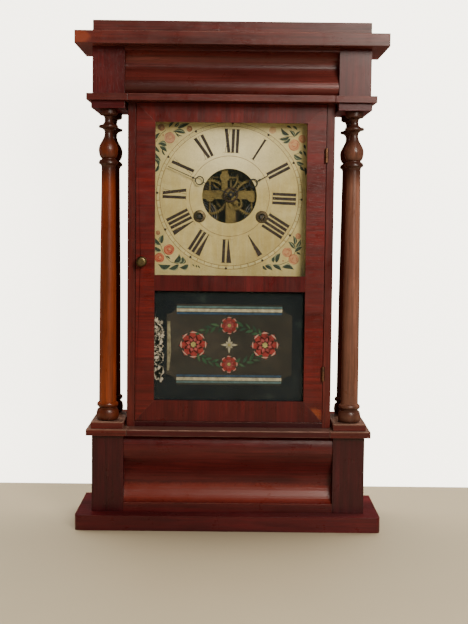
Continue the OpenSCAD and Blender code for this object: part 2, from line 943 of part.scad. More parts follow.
// Leaf, lower and upper knuckle on the case, and the pin that stands in them
module hinge_case_halves() {
    third = hinge_len / 3;
    color(brass)
        for (z = hinge_places()) {
            difference() {
                union() {
                    hinge_leaf(z, 1);
                    knuckle(z - hinge_len / 2, z - third / 2 - knuckle_gap, 1);
                    knuckle(z + third / 2 + knuckle_gap, z + hinge_len / 2, 1);
                }
                translate([hinge_x, back_y - hinge_d, z - hinge_len])
                    cylinder(h = 2 * hinge_len, r = hinge_pin_r + pivot_gap);
            }
            translate([hinge_x, back_y - hinge_d, z - hinge_len / 2])
                cylinder(h = hinge_len, r = hinge_pin_r);
        }
}

module hinge_door_halves() {
    third = hinge_len / 3;
    color(brass)
        for (z = hinge_places())
            difference() {
                union() {
                    hinge_leaf(z, -1);
                    knuckle(z - third / 2, z + third / 2, -1);
                }
                translate([hinge_x, back_y - hinge_d, z - hinge_len])
                    cylinder(h = 2 * hinge_len, r = hinge_pin_r + pivot_gap);
            }
}

function dial_screw_places() =
    [for (x = [-1, 1], z = [-1, 1]) (dial_half - screw_inset) * [x, z]];

module dial_screw_holes(r) {
    for (at = dial_screw_places())
        turned_facing(at + [0, dial_z], dial_back_d - screw_len)
            cylinder(h = screw_len + dial_t + 1, r = r);
}

module dial_plate() {
    color("beige")
        difference() {
            facing([0, dial_z], dial_back_d, dial_front_d)
                difference() {
                    square(2 * dial_half, center = true);
                    translate([-dial_off_x, -dial_off_z])
                        circle(dial_open_r, $fn = 96);
                    for (side = [-1, 1])
                        translate([side * winding_x, -winding_drop])
                        circle(grommet_tube_r + screw_gap);
                }
            dial_screw_holes(screw_r + screw_gap);
        }
}

// Brass rings in the two winding holes
module winding_grommets() {
    color(brass)
        for (side = [-1, 1])
            turned_facing([side * winding_x, dial_z - winding_drop], dial_back_d)
                rotate_extrude()
                polygon([[winding_hole_r, 0], [grommet_tube_r, 0], [grommet_tube_r, dial_t],
                    [grommet_r, dial_t], [grommet_r - grommet_lip / 3, dial_t + grommet_lip / 2],
                    [winding_hole_r + grommet_lip / 2, dial_t + grommet_lip],
                    [winding_hole_r, dial_t + grommet_lip * 2 / 3]]);
}

// Screw with a round head that faces the viewer, its head's underside at distance d
module screw_at(at, d, length) {
    turned_facing(at + [0, dial_z], d - length)
        cylinder(h = length + screw_head_t / 2, r = screw_r);
    turned_facing(at + [0, dial_z], d)
        cylinder(h = screw_head_t, r = screw_head_r);
}

module screws() {
    color(steel) {
        for (at = dial_screw_places())
            screw_at(at, dial_front_d, screw_len + dial_t - screw_end_gap);
        for (at = ear_places())
            screw_at(at, train_d, screw_len + plate_t - screw_end_gap);
    }
}

// A hand that points at an angle: slim blade with a lozenge, open ring and hub
module hand(d, angle, length, ring_at, blade_w, hub_r, bore_r) {
    turned_facing([0, dial_z], d)
        rotate([0, 0, -angle])
        difference() {
            union() {
                linear_extrude(hand_t) {
                    polygon([[-blade_w / 2, 0], [-blade_w / 3, length - blade_w], [0, length],
                        [blade_w / 3, length - blade_w], [blade_w / 2, 0]]);
                    translate([0, ring_at + hand_lozenge_gap])
                        polygon([[-hand_lozenge[0], 0], [0, hand_lozenge[1]],
                            [hand_lozenge[0], 0], [0, -hand_lozenge[1]]]);
                }
                translate([0, ring_at, 0])
                    cylinder(h = hand_t, r = hand_ring_r + blade_w / 2);
                cylinder(h = hand_t, r = hub_r);
            }
            translate([0, ring_at, -1])
                cylinder(h = hand_t + 2, r = hand_ring_r - blade_w / 2);
            translate([0, 0, -1])
                cylinder(h = hand_t + 2, r = bore_r);
        }
}

module minute_hand() {
    color("black")
        hand(minute_hand_d, minute_angle, minute_len, minute_ring_at, minute_blade_w,
            minute_hub_r, arbor_r + screw_gap);
}

module hour_hand() {
    color("black")
        hand(hour_hand_d, hour_angle, hour_len, hour_ring_at, hour_blade_w,
            hour_hub_r, hour_pipe_r + screw_gap);
}

// Outline of a toothed wheel with straight flanked teeth, one of them at an angle
function gear_outline(m, n, angle) = let (
    pitch = 360 / n,
    r = gear_r(m, n),
    small = n < 16,
    tip = r + m * (small ? 0.7 : 0.85),
    root = r - m * 1.15,
    half = pitch / 4 * (1 - backlash))
    [for (i = [0:n - 1]) let (a = angle + i * pitch)
        each [polar(root, a - half * 1.3), polar(r, a - half), polar(tip, a - half * 0.4),
            polar(tip, a + half * 0.4), polar(r, a + half), polar(root, a + half * 1.3)]];

// Wheel crossed out with spokes, with a round bore
module wheel_shape(m, n, angle, bore, spokes = 4) {
    r = gear_r(m, n);
    rim = r - m * 1.2 - max(1.6, r * 0.09);
    hub = max(3, r * 0.17);
    difference() {
        polygon(gear_outline(m, n, angle));
        difference() {
            circle(rim);
            circle(hub);
            for (i = [0:spokes - 1])
                rotate([0, 0, i * 360 / spokes])
                translate([0, -r * 0.045])
                square([r, r * 0.09]);
        }
        if (bore > 0)
            circle(bore);
    }
}

// Place of a movement part, from its place on the dial's plane
function on_dial(at) = [at[0], dial_z + at[1]];

// Arbor between the plates, with a pivot in each
module arbor(at, r, d0, d1) {
    turned_facing(on_dial(at), d0)
        cylinder(h = d1 - d0, r = r);
}

module pivoted_arbor(at) {
    arbor(at, pivot_r, back_plate_d, motion_d);
    arbor(at, arbor_r, train_d + end_shake, front_plate_d - end_shake);
}

module train_wheel(at, m, n, angle, d, t) {
    facing(on_dial(at), d, d + t)
        wheel_shape(m, n, angle, 0);
}

module pinion(at, m, n, angle, wheel_d, t) {
    facing(on_dial(at), wheel_d - pinion_over, wheel_d + t + pinion_over)
        polygon(gear_outline(m, n, angle));
}

// Arbor in the middle, with the wheel and pinions that turn the hands
module centre_arbor() {
    color(brass) {
        arbor(centre_at, pivot_r, back_plate_d, train_d + arbor_over);
        arbor(centre_at, arbor_r, train_d + end_shake, minute_hand_d + hand_t + arbor_over);
        train_wheel(centre_at, centre_module, centre_teeth, centre_wheel_angle,
            centre_wheel_d, wheel_t);
        pinion(centre_at, second_module, pinion_teeth, centre_pinion_angle,
            second_wheel_d, wheel_t);
        facing(on_dial(centre_at), cannon_d, cannon_d + cannon_t)
            polygon(gear_outline(cannon_module, cannon_teeth, 0));
    }
}

module hour_wheel() {
    color(brass) {
        facing(on_dial(centre_at), hour_wheel_d, hour_wheel_d + motion_wheel_t)
            wheel_shape(hour_module, hour_wheel_teeth, hour_wheel_angle, arbor_r + pivot_gap);
        facing(on_dial(centre_at), hour_wheel_d + motion_wheel_t,
            hour_hand_d + hand_t + pipe_over)
            difference() {
                circle(hour_pipe_r);
                circle(arbor_r + pivot_gap);
            }
    }
}

module minute_wheel() {
    color(brass) {
        facing(on_dial(minute_wheel_at), minute_wheel_d, minute_wheel_d + motion_wheel_t)
            wheel_shape(cannon_module, minute_wheel_teeth, minute_wheel_angle,
                stud_r + pivot_gap);
        facing(on_dial(minute_wheel_at), minute_wheel_d + motion_wheel_t,
            hour_wheel_d + motion_wheel_t + pinion_over)
            difference() {
                polygon(gear_outline(hour_module, hour_pinion_teeth, 0));
                circle(stud_r + pivot_gap);
            }
    }
}

function ear_places() = [for (x = [-1, 1], z = [-plate_below - ear_drop, plate_above + ear_drop])
    [x * ear_x, z]];

function pillar_places() = [for (x = [-1, 1], z = [pillar_inset - plate_below, plate_above - pillar_inset])
    [x * pillar_x, z]];

// Brass plate: an outer frame, cross bars and bosses where the arbors run
module plate_shape() {
    difference() {
        union() {
            difference() {
                translate([-plate_half_w, -plate_below])
                    square([2 * plate_half_w, plate_below + plate_above]);
                translate([plate_bar - plate_half_w, plate_bar - plate_below])
                    square([2 * (plate_half_w - plate_bar),
                        plate_below + plate_above - 2 * plate_bar]);
            }
            translate([-plate_half_w, -plate_bar / 2])
                square([2 * plate_half_w, plate_bar]);
            translate([-upright_w / 2, -plate_below])
                square([upright_w, plate_below]);
            translate([third_at[0] - slant_w / 2, 0])
                square([slant_w, escape_at[1]]);
            translate([-plate_half_w, escape_at[1] - cross_w / 2])
                square([2 * plate_half_w, cross_w]);
            translate([-plate_bar / 2, escape_at[1]])
                square([plate_bar, plate_above - escape_at[1]]);
            translate([-plate_half_w, fly_at[1] - cross_w / 2])
                square([plate_half_w + fly_at[0], cross_w]);
            for (side = [-1, 1]) {
                translate([side * (plate_half_w + winding_x) / 2, -winding_drop])
                    square([plate_half_w - winding_x, plate_bar], center = true);
                translate([side * winding_x, -winding_drop])
                    circle(great_boss_r);
            }
            for (at = [centre_at, fly_at, third_at, second_at, strike_second_at])
                translate(at)
                circle(boss_r);
        }
        for (at = [fly_at, third_at, second_at, strike_second_at, escape_at, hammer_at])
            translate(at)
            circle(pivot_r + pivot_gap);
        for (side = [-1, 1])
            translate([side * winding_x, -winding_drop])
            circle(winding_arbor_r + pivot_gap);
    }
}

module front_plate() {
    color(brass) {
        facing(on_dial(centre_at), front_plate_d, motion_d)
            difference() {
                plate_shape();
                circle(arbor_r + pivot_gap);
                translate(verge_at)
                    circle(pivot_r + pivot_gap);
                for (at = pillar_places())
                    translate(at)
                    circle(pivot_r + screw_gap);
            }
        facing(on_dial(minute_wheel_at), front_plate_d, motion_d)
            circle(stud_boss_r);
        arbor(minute_wheel_at, stud_r, motion_d,
            hour_wheel_d + motion_wheel_t + pinion_over + stud_over);
    }
}

// The back plate also carries the cock from which the pendulum hangs
module back_plate() {
    cock_z = pivot_z + cock_rise;
    color(brass) {
        facing(on_dial(centre_at), back_plate_d, train_d)
            difference() {
                union() {
                    plate_shape();
                    for (at = ear_places())
                        translate(at)
                        circle(ear_r);
                }
                circle(pivot_r + pivot_gap);
                translate(verge_at)
                    circle(arbor_r + pivot_gap);
                for (at = ear_places())
                    translate(at)
                    circle(screw_r + screw_gap);
                for (at = pillar_places())
                    translate(at)
                    circle(pivot_r + screw_gap);
            }
        difference() {
            board([-cock_half_w, cock_half_w], [pendulum_d - cock_over, back_plate_d],
                [cock_z, cock_z + cock_h]);
            board([-cock_slot / 2, cock_slot / 2], [pendulum_d - cock_over - 1, pendulum_d + cock_over],
                [cock_z - 1, cock_z + cock_h + 1]);
        }
    }
}

module plate_pillars() {
    color(brass)
        for (at = pillar_places()) {
            arbor(at, pillar_r, train_d, front_plate_d);
            arbor(at, pivot_r, back_plate_d - pillar_over, motion_d + nut_t + pillar_over);
            facing(on_dial(at), motion_d, motion_d + nut_t)
                circle(nut_r, $fn = 6);
        }
}

// Wheel on its winding arbor, whose squared end shows in the dial
module great_wheel(at, angle) {
    train_wheel(at, great_module, great_teeth, angle, great_d, great_t);
    arbor(at, winding_arbor_r, back_plate_d, motion_d + arbor_over);
    facing(on_dial(at), motion_d + arbor_over, dial_back_d + winding_over)
        square(winding_square_w, center = true);
}

module time_great_wheel() {
    color(brass)
        great_wheel(great_at, great_angle);
}

module strike_great_wheel() {
    color(brass)
        great_wheel(strike_great_at, strike_great_angle);
}

module time_second_wheel() {
    color(brass) {
        pivoted_arbor(second_at);
        train_wheel(second_at, second_module, second_teeth, second_angle,
            second_wheel_d, wheel_t);
        pinion(second_at, great_module, second_pinion_teeth, second_angle, great_d, great_t);
    }
}

module third_wheel() {
    color(brass) {
        pivoted_arbor(third_at);
        train_wheel(third_at, third_module, third_teeth, third_pinion_angle,
            third_wheel_d, wheel_t);
        pinion(third_at, centre_module, pinion_teeth, third_pinion_angle,
            centre_wheel_d, wheel_t);
    }
}

// Wheel with pointed teeth that the verge lets pass one by one
module escape_wheel() {
    pitch = 360 / escape_teeth;
    color(brass) {
        pivoted_arbor(escape_at);
        pinion(escape_at, third_module, pinion_teeth, escape_pinion_angle,
            third_wheel_d, wheel_t);
        facing(on_dial(escape_at), escape_d, escape_d + wheel_t)
            difference() {
                polygon([for (i = [0:escape_teeth - 1], k = [0:3])
                    polar(k == 0 || k == 3 ? escape_root_r : escape_r,
                        (i + escape_tooth[k]) * pitch)]);
                difference() {
                    circle(escape_root_r - escape_rim);
                    circle(escape_hub_r);
                    square([2 * escape_r, escape_spoke_w], center = true);
                    square([escape_spoke_w, 2 * escape_r], center = true);
                }
            }
    }
}

// One arm of the anchor, to the right, ending in a pointed pallet
module verge_arm() {
    tip = escape_at + polar(escape_r + pallet_gap, 90 - pallet_angle) - verge_at;
    shoulder = tip + [1.8, 2] * verge_arm_w;
    polygon([[0, verge_arm_w], [verge_arm_w, verge_arm_w], shoulder, tip,
        tip + [-0.6, 0.2], tip + [-0.8, 2.4], [0, -verge_arm_w]]);
}

// Anchor with two pallets, its arbor and the crutch that holds the pendulum's rod
module verge() {
    prong_x = rod_r + stop_gap + crutch_r;
    crutch_span = [crutch_d - crutch_t / 2, crutch_d + crutch_t / 2];
    color(steel) {
        arbor(verge_at, pivot_r, train_d, motion_d);
        arbor(verge_at, arbor_r, crutch_span[0], front_plate_d - end_shake);
        facing(on_dial(verge_at), escape_d, escape_d + wheel_t) {
            circle(verge_hub_r);
            for (side = [0, 1])
                mirror([side, 0])
                verge_arm();
        }
        facing(on_dial(verge_at), crutch_span[0], crutch_span[1])
            translate([-crutch_w / 2, -crutch_len])
            square([crutch_w, crutch_len]);
        facing(on_dial(verge_at + [0, -crutch_len]), crutch_span[0], crutch_span[1])
            square([2 * (prong_x + crutch_r), 2 * crutch_r], center = true);
        for (side = [-1, 1])
            arbor(verge_at + [side * prong_x, -crutch_len], crutch_r,
                pendulum_d - prong_over, crutch_span[1]);
    }
}

// Suspension strip with its crossbar, wire rod and rating nut
module pendulum_rod() {
    rod_foot = pivot_z - pendulum_len - bob_r - rod_over;
    rod_top = pivot_z - strip_len;
    nut_z = pivot_z - pendulum_len - bob_r - nut_drop;
    bar_z = pivot_z + cock_rise + cock_h + stop_gap;
    strip_d = [pendulum_d - strip_w_half, pendulum_d + strip_w_half];
    color(steel) {
        board([-strip_t_half, strip_t_half], strip_d, [rod_top - strip_w_half, bar_z + strip_bar_h / 2]);
        board([-strip_bar_half, strip_bar_half], strip_d, [bar_z, bar_z + strip_bar_h]);
        translate([0, back_y - pendulum_d, rod_foot])
            cylinder(h = rod_top - rod_foot, r = rod_r);
        translate([0, back_y - pendulum_d, nut_z])
            cylinder(h = rating_nut_h, r = rating_nut_r);
    }
}

// Lens shaped bob with a hole for the rod
module pendulum_bob() {
    edge = bob_t / 6;
    color(brass)
        difference() {
            turned_facing([0, pivot_z - pendulum_len], pendulum_d - bob_t / 2)
                rotate_extrude()
                polygon(concat(
                    [for (i = [0:8]) [bob_r * i / 8,
                        (bob_t / 2 - edge) * pow(i / 8, 2)]],
                    [for (i = [8:-1:0]) [bob_r * i / 8,
                        bob_t - (bob_t / 2 - edge) * pow(i / 8, 2)]]));
            translate([0, back_y - pendulum_d, pivot_z - pendulum_len - bob_r - 1])
                cylinder(h = 2 * bob_r + 2, r = rod_r + pivot_gap);
        }
}

module strike_second_wheel() {
    color(brass) {
        pivoted_arbor(strike_second_at);
        train_wheel(strike_second_at, second_module, second_teeth, strike_second_angle,
            strike_second_d, wheel_t);
        pinion(strike_second_at, great_module, second_pinion_teeth, strike_second_angle,
            great_d, great_t);
    }
}

// Air brake of the striking train
module strike_fly() {
    color(brass) {
        pivoted_arbor(fly_at);
        facing(on_dial(fly_at), strike_second_d - pinion_over, strike_second_d + wheel_t)
            polygon(gear_outline(second_module, pinion_teeth, fly_angle));
        facing(on_dial(fly_at), fly_span_d[0], fly_span_d[1])
            union() {
                square(fly_wing, center = true);
                circle(fly_hub_r);
            }
    }
}

// Straight piece of round wire between two places, given across, from the back and upwards
module wire(a, b, r) {
    from = [a[0], back_y - a[1], a[2]];
    way = [b[0] - a[0], a[1] - b[1], b[2] - a[2]];
    translate(from)
        rotate([0, acos(way[2] / norm(way)), atan2(way[1], way[0])])
        cylinder(h = norm(way), r = r);
    translate(from)
        sphere(r + wire_knee);
}

// Hammer with its arbor and bent wire
module hammer() {
    top = on_dial(hammer_at);
    bend = [hammer_bend[0], hammer_rod_d, top[1] + hammer_bend[1]];
    low = [hammer_x, hammer_rod_d, gong_z];
    head = [hammer_x, gong_d, gong_z];
    color(steel) {
        arbor(hammer_at, pivot_r, hammer_rod_d, motion_d);
        arbor(hammer_at, arbor_r, train_d + end_shake, front_plate_d - end_shake);
        wire([top[0], hammer_rod_d, top[1]], bend, rod_r);
        wire(bend, low, rod_r);
        wire(low, head, rod_r);
        translate([hammer_x - hammer_len / 2, back_y - gong_d, gong_z])
            rotate([0, 90, 0])
            cylinder(h = hammer_len, r = hammer_r);
    }
}

// Gong of round wire: half turns of growing radius on two centres, and a stub to its block
module gong() {
    start = gong_in_r - gong_pitch / 4;
    color(steel)
        translate([0, back_y - gong_d, gong_z])
        rotate([90, 0, 0]) {
            for (i = [0:gong_half_turns - 1])
                translate([(i % 2 == 0 ? -1 : 1) * gong_pitch / 4, 0, 0])
                rotate([0, 0, 180 * (i % 2)])
                rotate_extrude(angle = 180)
                translate([gong_in_r + i * gong_pitch / 2, 0])
                circle(gong_wire_r, $fn = 24);
            translate([gong_block_w / 2, 0, 0])
                rotate([0, 90, 0])
                cylinder(h = start - gong_block_w / 2, r = gong_wire_r, $fn = 24);
            translate([start, 0, 0])
                sphere(gong_wire_r + wire_knee, $fn = 24);
        }
}

module gong_block() {
    half = gong_block_w / 2;
    color("dimgray")
        board([-half, half], [back_t, gong_d + gong_wire_r + gong_block_over],
            [gong_z - half, gong_z + half]);
}

// Wound springs round the two winding arbors, as flat spirals
module mainsprings() {
    inner = winding_arbor_r + spring_gap;
    gap = (spring_out_r - inner) / spring_turns;
    spiral = [for (i = [0:spring_turns * spring_steps])
        [inner + gap * i / spring_steps, 360 * i / spring_steps]];
    ribbon = concat(
        [for (p = spiral) polar(p[0], p[1])],
        [for (p = reversed(spiral)) polar(p[0] + spring_t, p[1])]);
    color(steel)
        for (side = [-1, 1])
            facing(on_dial([side * winding_x, -winding_drop]),
                great_d + great_t + spring_gap, second_wheel_d - spring_gap)
            mirror([side > 0 ? 1 : 0, 0])
            rotate([0, 0, 90])
            polygon(ribbon);
}

base_board();
base_blocks();
base_ogee();
shelf_ends();
shelf_centre();
column_plinths();
column_front_left();
column_front_right();
column_rear_left();
column_rear_right();
column_caps();
band_ends();
band_centre();
frieze_blocks();
frieze_ogee();
cornice_board();
cap_board();
case_side_left();
case_side_right();
backboard();
case_bottom_rail();
dial_strips();
movement_blocks();
door_stile_left();
door_stile_right();
door_top_rail();
door_middle_rail();
door_bottom_rail();
dial_glass();
tablet_glass();
glazing_strips();
door_knob();
latch_tongue();
hinge_case_halves();
hinge_door_halves();
dial_plate();
winding_grommets();
screws();
minute_hand();
hour_hand();
centre_arbor();
hour_wheel();
minute_wheel();
front_plate();
back_plate();
plate_pillars();
time_great_wheel();
time_second_wheel();
third_wheel();
escape_wheel();
verge();
pendulum_rod();
pendulum_bob();
strike_great_wheel();
strike_second_wheel();
strike_fly();
hammer();
gong();
gong_block();
mainsprings();
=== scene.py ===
# Looks of the shelf clock: finishes, painted dial, painted tablet, light and camera.
# Metres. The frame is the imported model's: the front faces -Y, +X is the viewer's right, +Z is up.
import math
import random

import bmesh
import bpy
from mathutils import Matrix, Vector


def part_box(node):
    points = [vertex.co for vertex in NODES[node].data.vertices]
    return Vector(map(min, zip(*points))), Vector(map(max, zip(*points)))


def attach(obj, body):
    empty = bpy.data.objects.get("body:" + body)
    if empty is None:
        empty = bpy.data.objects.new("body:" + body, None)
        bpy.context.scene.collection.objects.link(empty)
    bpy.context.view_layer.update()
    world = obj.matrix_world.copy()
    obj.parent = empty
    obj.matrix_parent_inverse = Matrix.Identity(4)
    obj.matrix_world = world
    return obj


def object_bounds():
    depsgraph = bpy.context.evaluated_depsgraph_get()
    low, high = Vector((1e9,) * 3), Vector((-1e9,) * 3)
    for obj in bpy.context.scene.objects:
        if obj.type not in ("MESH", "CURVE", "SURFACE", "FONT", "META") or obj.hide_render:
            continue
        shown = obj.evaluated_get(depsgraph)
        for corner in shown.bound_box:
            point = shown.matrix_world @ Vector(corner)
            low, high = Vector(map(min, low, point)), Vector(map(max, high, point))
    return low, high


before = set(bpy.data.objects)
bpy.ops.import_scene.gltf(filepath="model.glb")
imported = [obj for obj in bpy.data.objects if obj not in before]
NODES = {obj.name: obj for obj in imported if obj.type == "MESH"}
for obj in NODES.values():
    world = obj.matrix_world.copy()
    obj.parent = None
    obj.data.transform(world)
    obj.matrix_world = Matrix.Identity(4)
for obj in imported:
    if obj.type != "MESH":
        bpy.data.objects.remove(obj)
cad_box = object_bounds()
MM = 0.001

# ---------------------------------------------------------------- places taken from the frame

dial_low, dial_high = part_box("dial_plate")
DIAL_X = (dial_low.x + dial_high.x) / 2
DIAL_Z = (dial_low.z + dial_high.z) / 2
DIAL_Y = dial_low.y
tablet_low, tablet_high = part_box("tablet_glass")
TABLET_X = (tablet_low.x + tablet_high.x) / 2
TABLET_BACK_Y = tablet_high.y
SIGHT_LOW_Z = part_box("door_bottom_rail")[1].z
SIGHT_HIGH_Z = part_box("door_middle_rail")[0].z
SHELF_TOP_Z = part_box("shelf_centre")[1].z
column_low, column_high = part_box("column_front_left")
COLUMN_SPAN = (column_low.z, column_high.z)


# ---------------------------------------------------------------- node trees

class Graph:
    """The node tree of one material, with short calls to fill it."""

    def __init__(self, name):
        self.material = bpy.data.materials.new(name)
        self.material.use_nodes = True
        self.tree = self.material.node_tree
        self.bsdf = self.tree.nodes["Principled BSDF"]
        places = self.add("ShaderNodeTexCoord").outputs
        self.coords = places["Object"]
        self.normal = places["Normal"]

    def add(self, kind, inputs=None, **settings):
        node = self.tree.nodes.new(kind)
        for key, value in settings.items():
            setattr(node, key, value)
        for key, value in (inputs or {}).items():
            self.put(node.inputs[key], value)
        return node

    def put(self, socket, value):
        if isinstance(value, bpy.types.NodeSocket):
            self.tree.links.new(value, socket)
        else:
            socket.default_value = value

    def mapped(self, scale, offset=(0, 0, 0)):
        node = self.add("ShaderNodeMapping", {"Vector": self.coords})
        node.inputs["Scale"].default_value = scale
        node.inputs["Location"].default_value = offset
        return node.outputs["Vector"]

    def noise(self, vector, scale=1.0, detail=3.0, distortion=0.0, roughness=0.55):
        node = self.add("ShaderNodeTexNoise", {
            "Vector": vector, "Scale": scale, "Detail": detail,
            "Distortion": distortion, "Roughness": roughness})
        return node.outputs["Fac"]

    def ramp(self, value, stops):
        node = self.add("ShaderNodeValToRGB", {"Fac": value})
        elements = node.color_ramp.elements
        while len(elements) < len(stops):
            elements.new(0.5)
        for element, (place, colour) in zip(elements, stops):
            element.position = place
            element.color = (*colour, 1.0) if len(colour) == 3 else colour
        return node.outputs["Color"]

    def span(self, value, from_low, from_high, to_low=0.0, to_high=1.0):
        node = self.add("ShaderNodeMapRange", {
            "Value": value, "From Min": from_low, "From Max": from_high,
            "To Min": to_low, "To Max": to_high})
        return node.outputs["Result"]

    def mix(self, factor, a, b, blend="MIX"):
        node = self.add("ShaderNodeMix", data_type="RGBA", blend_type=blend)
        sockets = [s for s in node.inputs if s.type == "RGBA"]
        self.put(node.inputs["Factor"], factor)
        for socket, value in zip(sockets, (a, b)):
            if isinstance(value, tuple):
                value = (*value, 1.0) if len(value) == 3 else value
            self.put(socket, value)
        return [s for s in node.outputs if s.type == "RGBA"][0]

    def maths(self, kind, a, b=0.0):
        node = self.add("ShaderNodeMath", operation=kind)
        self.put(node.inputs[0], a)
        self.put(node.inputs[1], b)
        return node.outputs["Value"]

    def part(self, vector, axis):
        """One component of a vector."""
        return self.add("ShaderNodeSeparateXYZ", {"Vector": vector}).outputs[axis]

    def ball(self, scale, offset):
        """One at a place, falling to nothing round it."""
        return self.add("ShaderNodeTexGradient", {"Vector": self.mapped(scale, offset)},
                        gradient_type="SPHERICAL").outputs["Fac"]

    def bump(self, height, strength, distance):
        node = self.add("ShaderNodeBump", {
            "Height": height, "Strength": strength, "Distance": distance})
        self.put(self.bsdf.inputs["Normal"], node.outputs["Normal"])

    def finish(self, colour=None, roughness=None, **fixed):
        if colour is not None:
            if isinstance(colour, tuple):
                colour = (*colour, 1.0)
            self.put(self.bsdf.inputs["Base Color"], colour)
        if roughness is not None:
            self.put(self.bsdf.inputs["Roughness"], roughness)
        for key, value in fixed.items():
            self.bsdf.inputs[key.replace("_", " ")].default_value = value
        return self.material


def scaled(colour, factor):
    return tuple(c * factor for c in colour)


AXES = {"x": 0, "y": 1, "z": 2}


def along(axis, long_scale, cross_scale):
    """Texture scale that is stretched along the grain's axis."""
    scale = [cross_scale] * 3
    scale[AXES[axis]] = long_scale
    return tuple(scale)


def wood(name, axis, colour, seed, figure=0.35, gloss=0.28, wear_and_light_tint=None, extra=None):
    """Polished veneer: bands, ribbon figure, fine fibres, dark pores and a worn shellac film.
    With a tint given, it shows on what faces up, partly as worn bare wood and partly as a painted
    highlight, and what faces sideways or down gets painted shade."""
    g = Graph(name)
    shift = (seed * 0.371, seed * 0.197, seed * 0.283)
    bands = g.noise(g.mapped(along(axis, 3.0, 26.0), shift), 1.0, 4.0, 0.9)
    ribbon = g.noise(g.mapped(along(axis, 7.0, 120.0), shift), 1.0, 3.0, 0.5)
    fibres = g.noise(g.mapped(along(axis, 30.0, 900.0), shift), 1.0, 5.0, 0.2, 0.6)
    pores = g.noise(g.mapped(along(axis, 110.0, 2600.0), shift), 1.0, 2.0)
    clouds = g.noise(g.mapped((9.0, 9.0, 9.0), shift), 1.0, 3.0, 0.4)
    broad = g.maths("MULTIPLY", bands, 1.0 - figure)
    grain = g.maths("ADD", broad, g.maths("MULTIPLY", ribbon, figure))
    base = g.ramp(grain, [
        (0.34, scaled(colour, 0.45)), (0.45, scaled(colour, 0.8)),
        (0.55, scaled(colour, 1.08)), (0.67, scaled(colour, 1.5))])
    aged = g.mix(1.0, base, (0.72, 0.6, 0.66), "MULTIPLY")
    toned = g.mix(g.span(clouds, 0.3, 0.7), aged, base)
    streaks = g.noise(g.mapped(along(axis, 8.0, 340.0), shift), 1.0, 4.0, 0.3)
    darkened = g.mix(g.span(streaks, 0.48, 0.66, 0.0, 0.6), toned, scaled(colour, 0.3))
    streaked = g.mix(g.span(fibres, 0.4, 0.65, 0.0, 0.5), darkened, scaled(colour, 0.35))
    pored = g.mix(g.span(pores, 0.62, 0.72, 0.0, 0.75), streaked, scaled(colour, 0.14))
    handled = g.noise(g.mapped((38.0, 38.0, 38.0), shift), 1.0, 4.0, 0.6)
    if extra:
        pored = extra(g, pored)
    if wear_and_light_tint:
        # Painted light by facing: bevels facing up take the lighter tint (partly worn wood, partly
        # painted highlight), bevels facing sideways or down take painted shade
        upward = g.part(g.normal, "Z")
        painted_shade_sides = g.mix(g.span(upward, 0.0, 0.3, 0.55, 0.0), pored, scaled(colour, 0.2))
        patches = g.span(handled, 0.35, 0.7, 0.15, 0.85)
        worn_and_lit_tops = g.maths("MULTIPLY", patches, g.span(upward, 0.0, 0.5, 0.2, 1.0))
        pored = g.mix(worn_and_lit_tops, painted_shade_sides, wear_and_light_tint)
    rough = g.maths("ADD", g.span(handled, 0.3, 0.7, gloss - 0.05, gloss + 0.09),
                    g.span(fibres, 0.3, 0.7, 0.0, 0.06))
    relief = g.maths("SUBTRACT", g.maths("MULTIPLY", fibres, 0.35), g.span(pores, 0.6, 0.75))
    g.bump(relief, 0.22, 0.0003)
    return g.finish(pored, rough, Coat_Weight=0.08, Coat_Roughness=0.25, Specular_IOR_Level=0.26)


OLD_POLISH_AND_SHADE = (0.029, 0.0085, 0.0050)
# Where old polish and painted shade darken a column: share of its height, strength
COLUMN_STAIN_AND_SHADE = [(0.0, 0.85), (0.02, 0.5), (0.045, 0.85), (0.06, 0.05), (0.76, 0.0), (0.812, 0.95),
                (0.838, 0.95), (0.860, 0.42), (0.885, 0.5), (0.91, 0.92), (0.965, 0.96), (1.0, 0.9)]


def turned_stain_and_shade(g, colour_in):
    """Old dark polish that stayed in the turned rings of a column, partly painted shade: it darkens
    the foot, rings, necks and capital.
    """
    share = g.span(g.part(g.coords, "Z"), *COLUMN_SPAN)
    strength = g.ramp(share, [(place, (value, value, value)) for place, value in COLUMN_STAIN_AND_SHADE])
    return g.mix(strength, colour_in, OLD_POLISH_AND_SHADE)


def wear_and_sheen_spot(at, reach, tint, amount=0.8):
    """A tinted patch round one place, with a ragged edge: rubbed polish and dust, and on the base
    ogee a band that is partly worn and partly a painted highlight.
    """
    def spread(g, colour_in):
        scale = tuple(1.0 / r for r in reach)
        offset = tuple(-a / r for a, r in zip(at, reach))
        ragged = g.noise(g.mapped((260.0, 260.0, 260.0)), 1.0, 4.0, 0.5)
        level = g.maths("ADD", g.ball(scale, offset), g.maths("MULTIPLY", ragged, 0.5))
        return g.mix(g.span(level, 0.45, 0.75, 0.0, amount), colour_in, tint)
    return spread


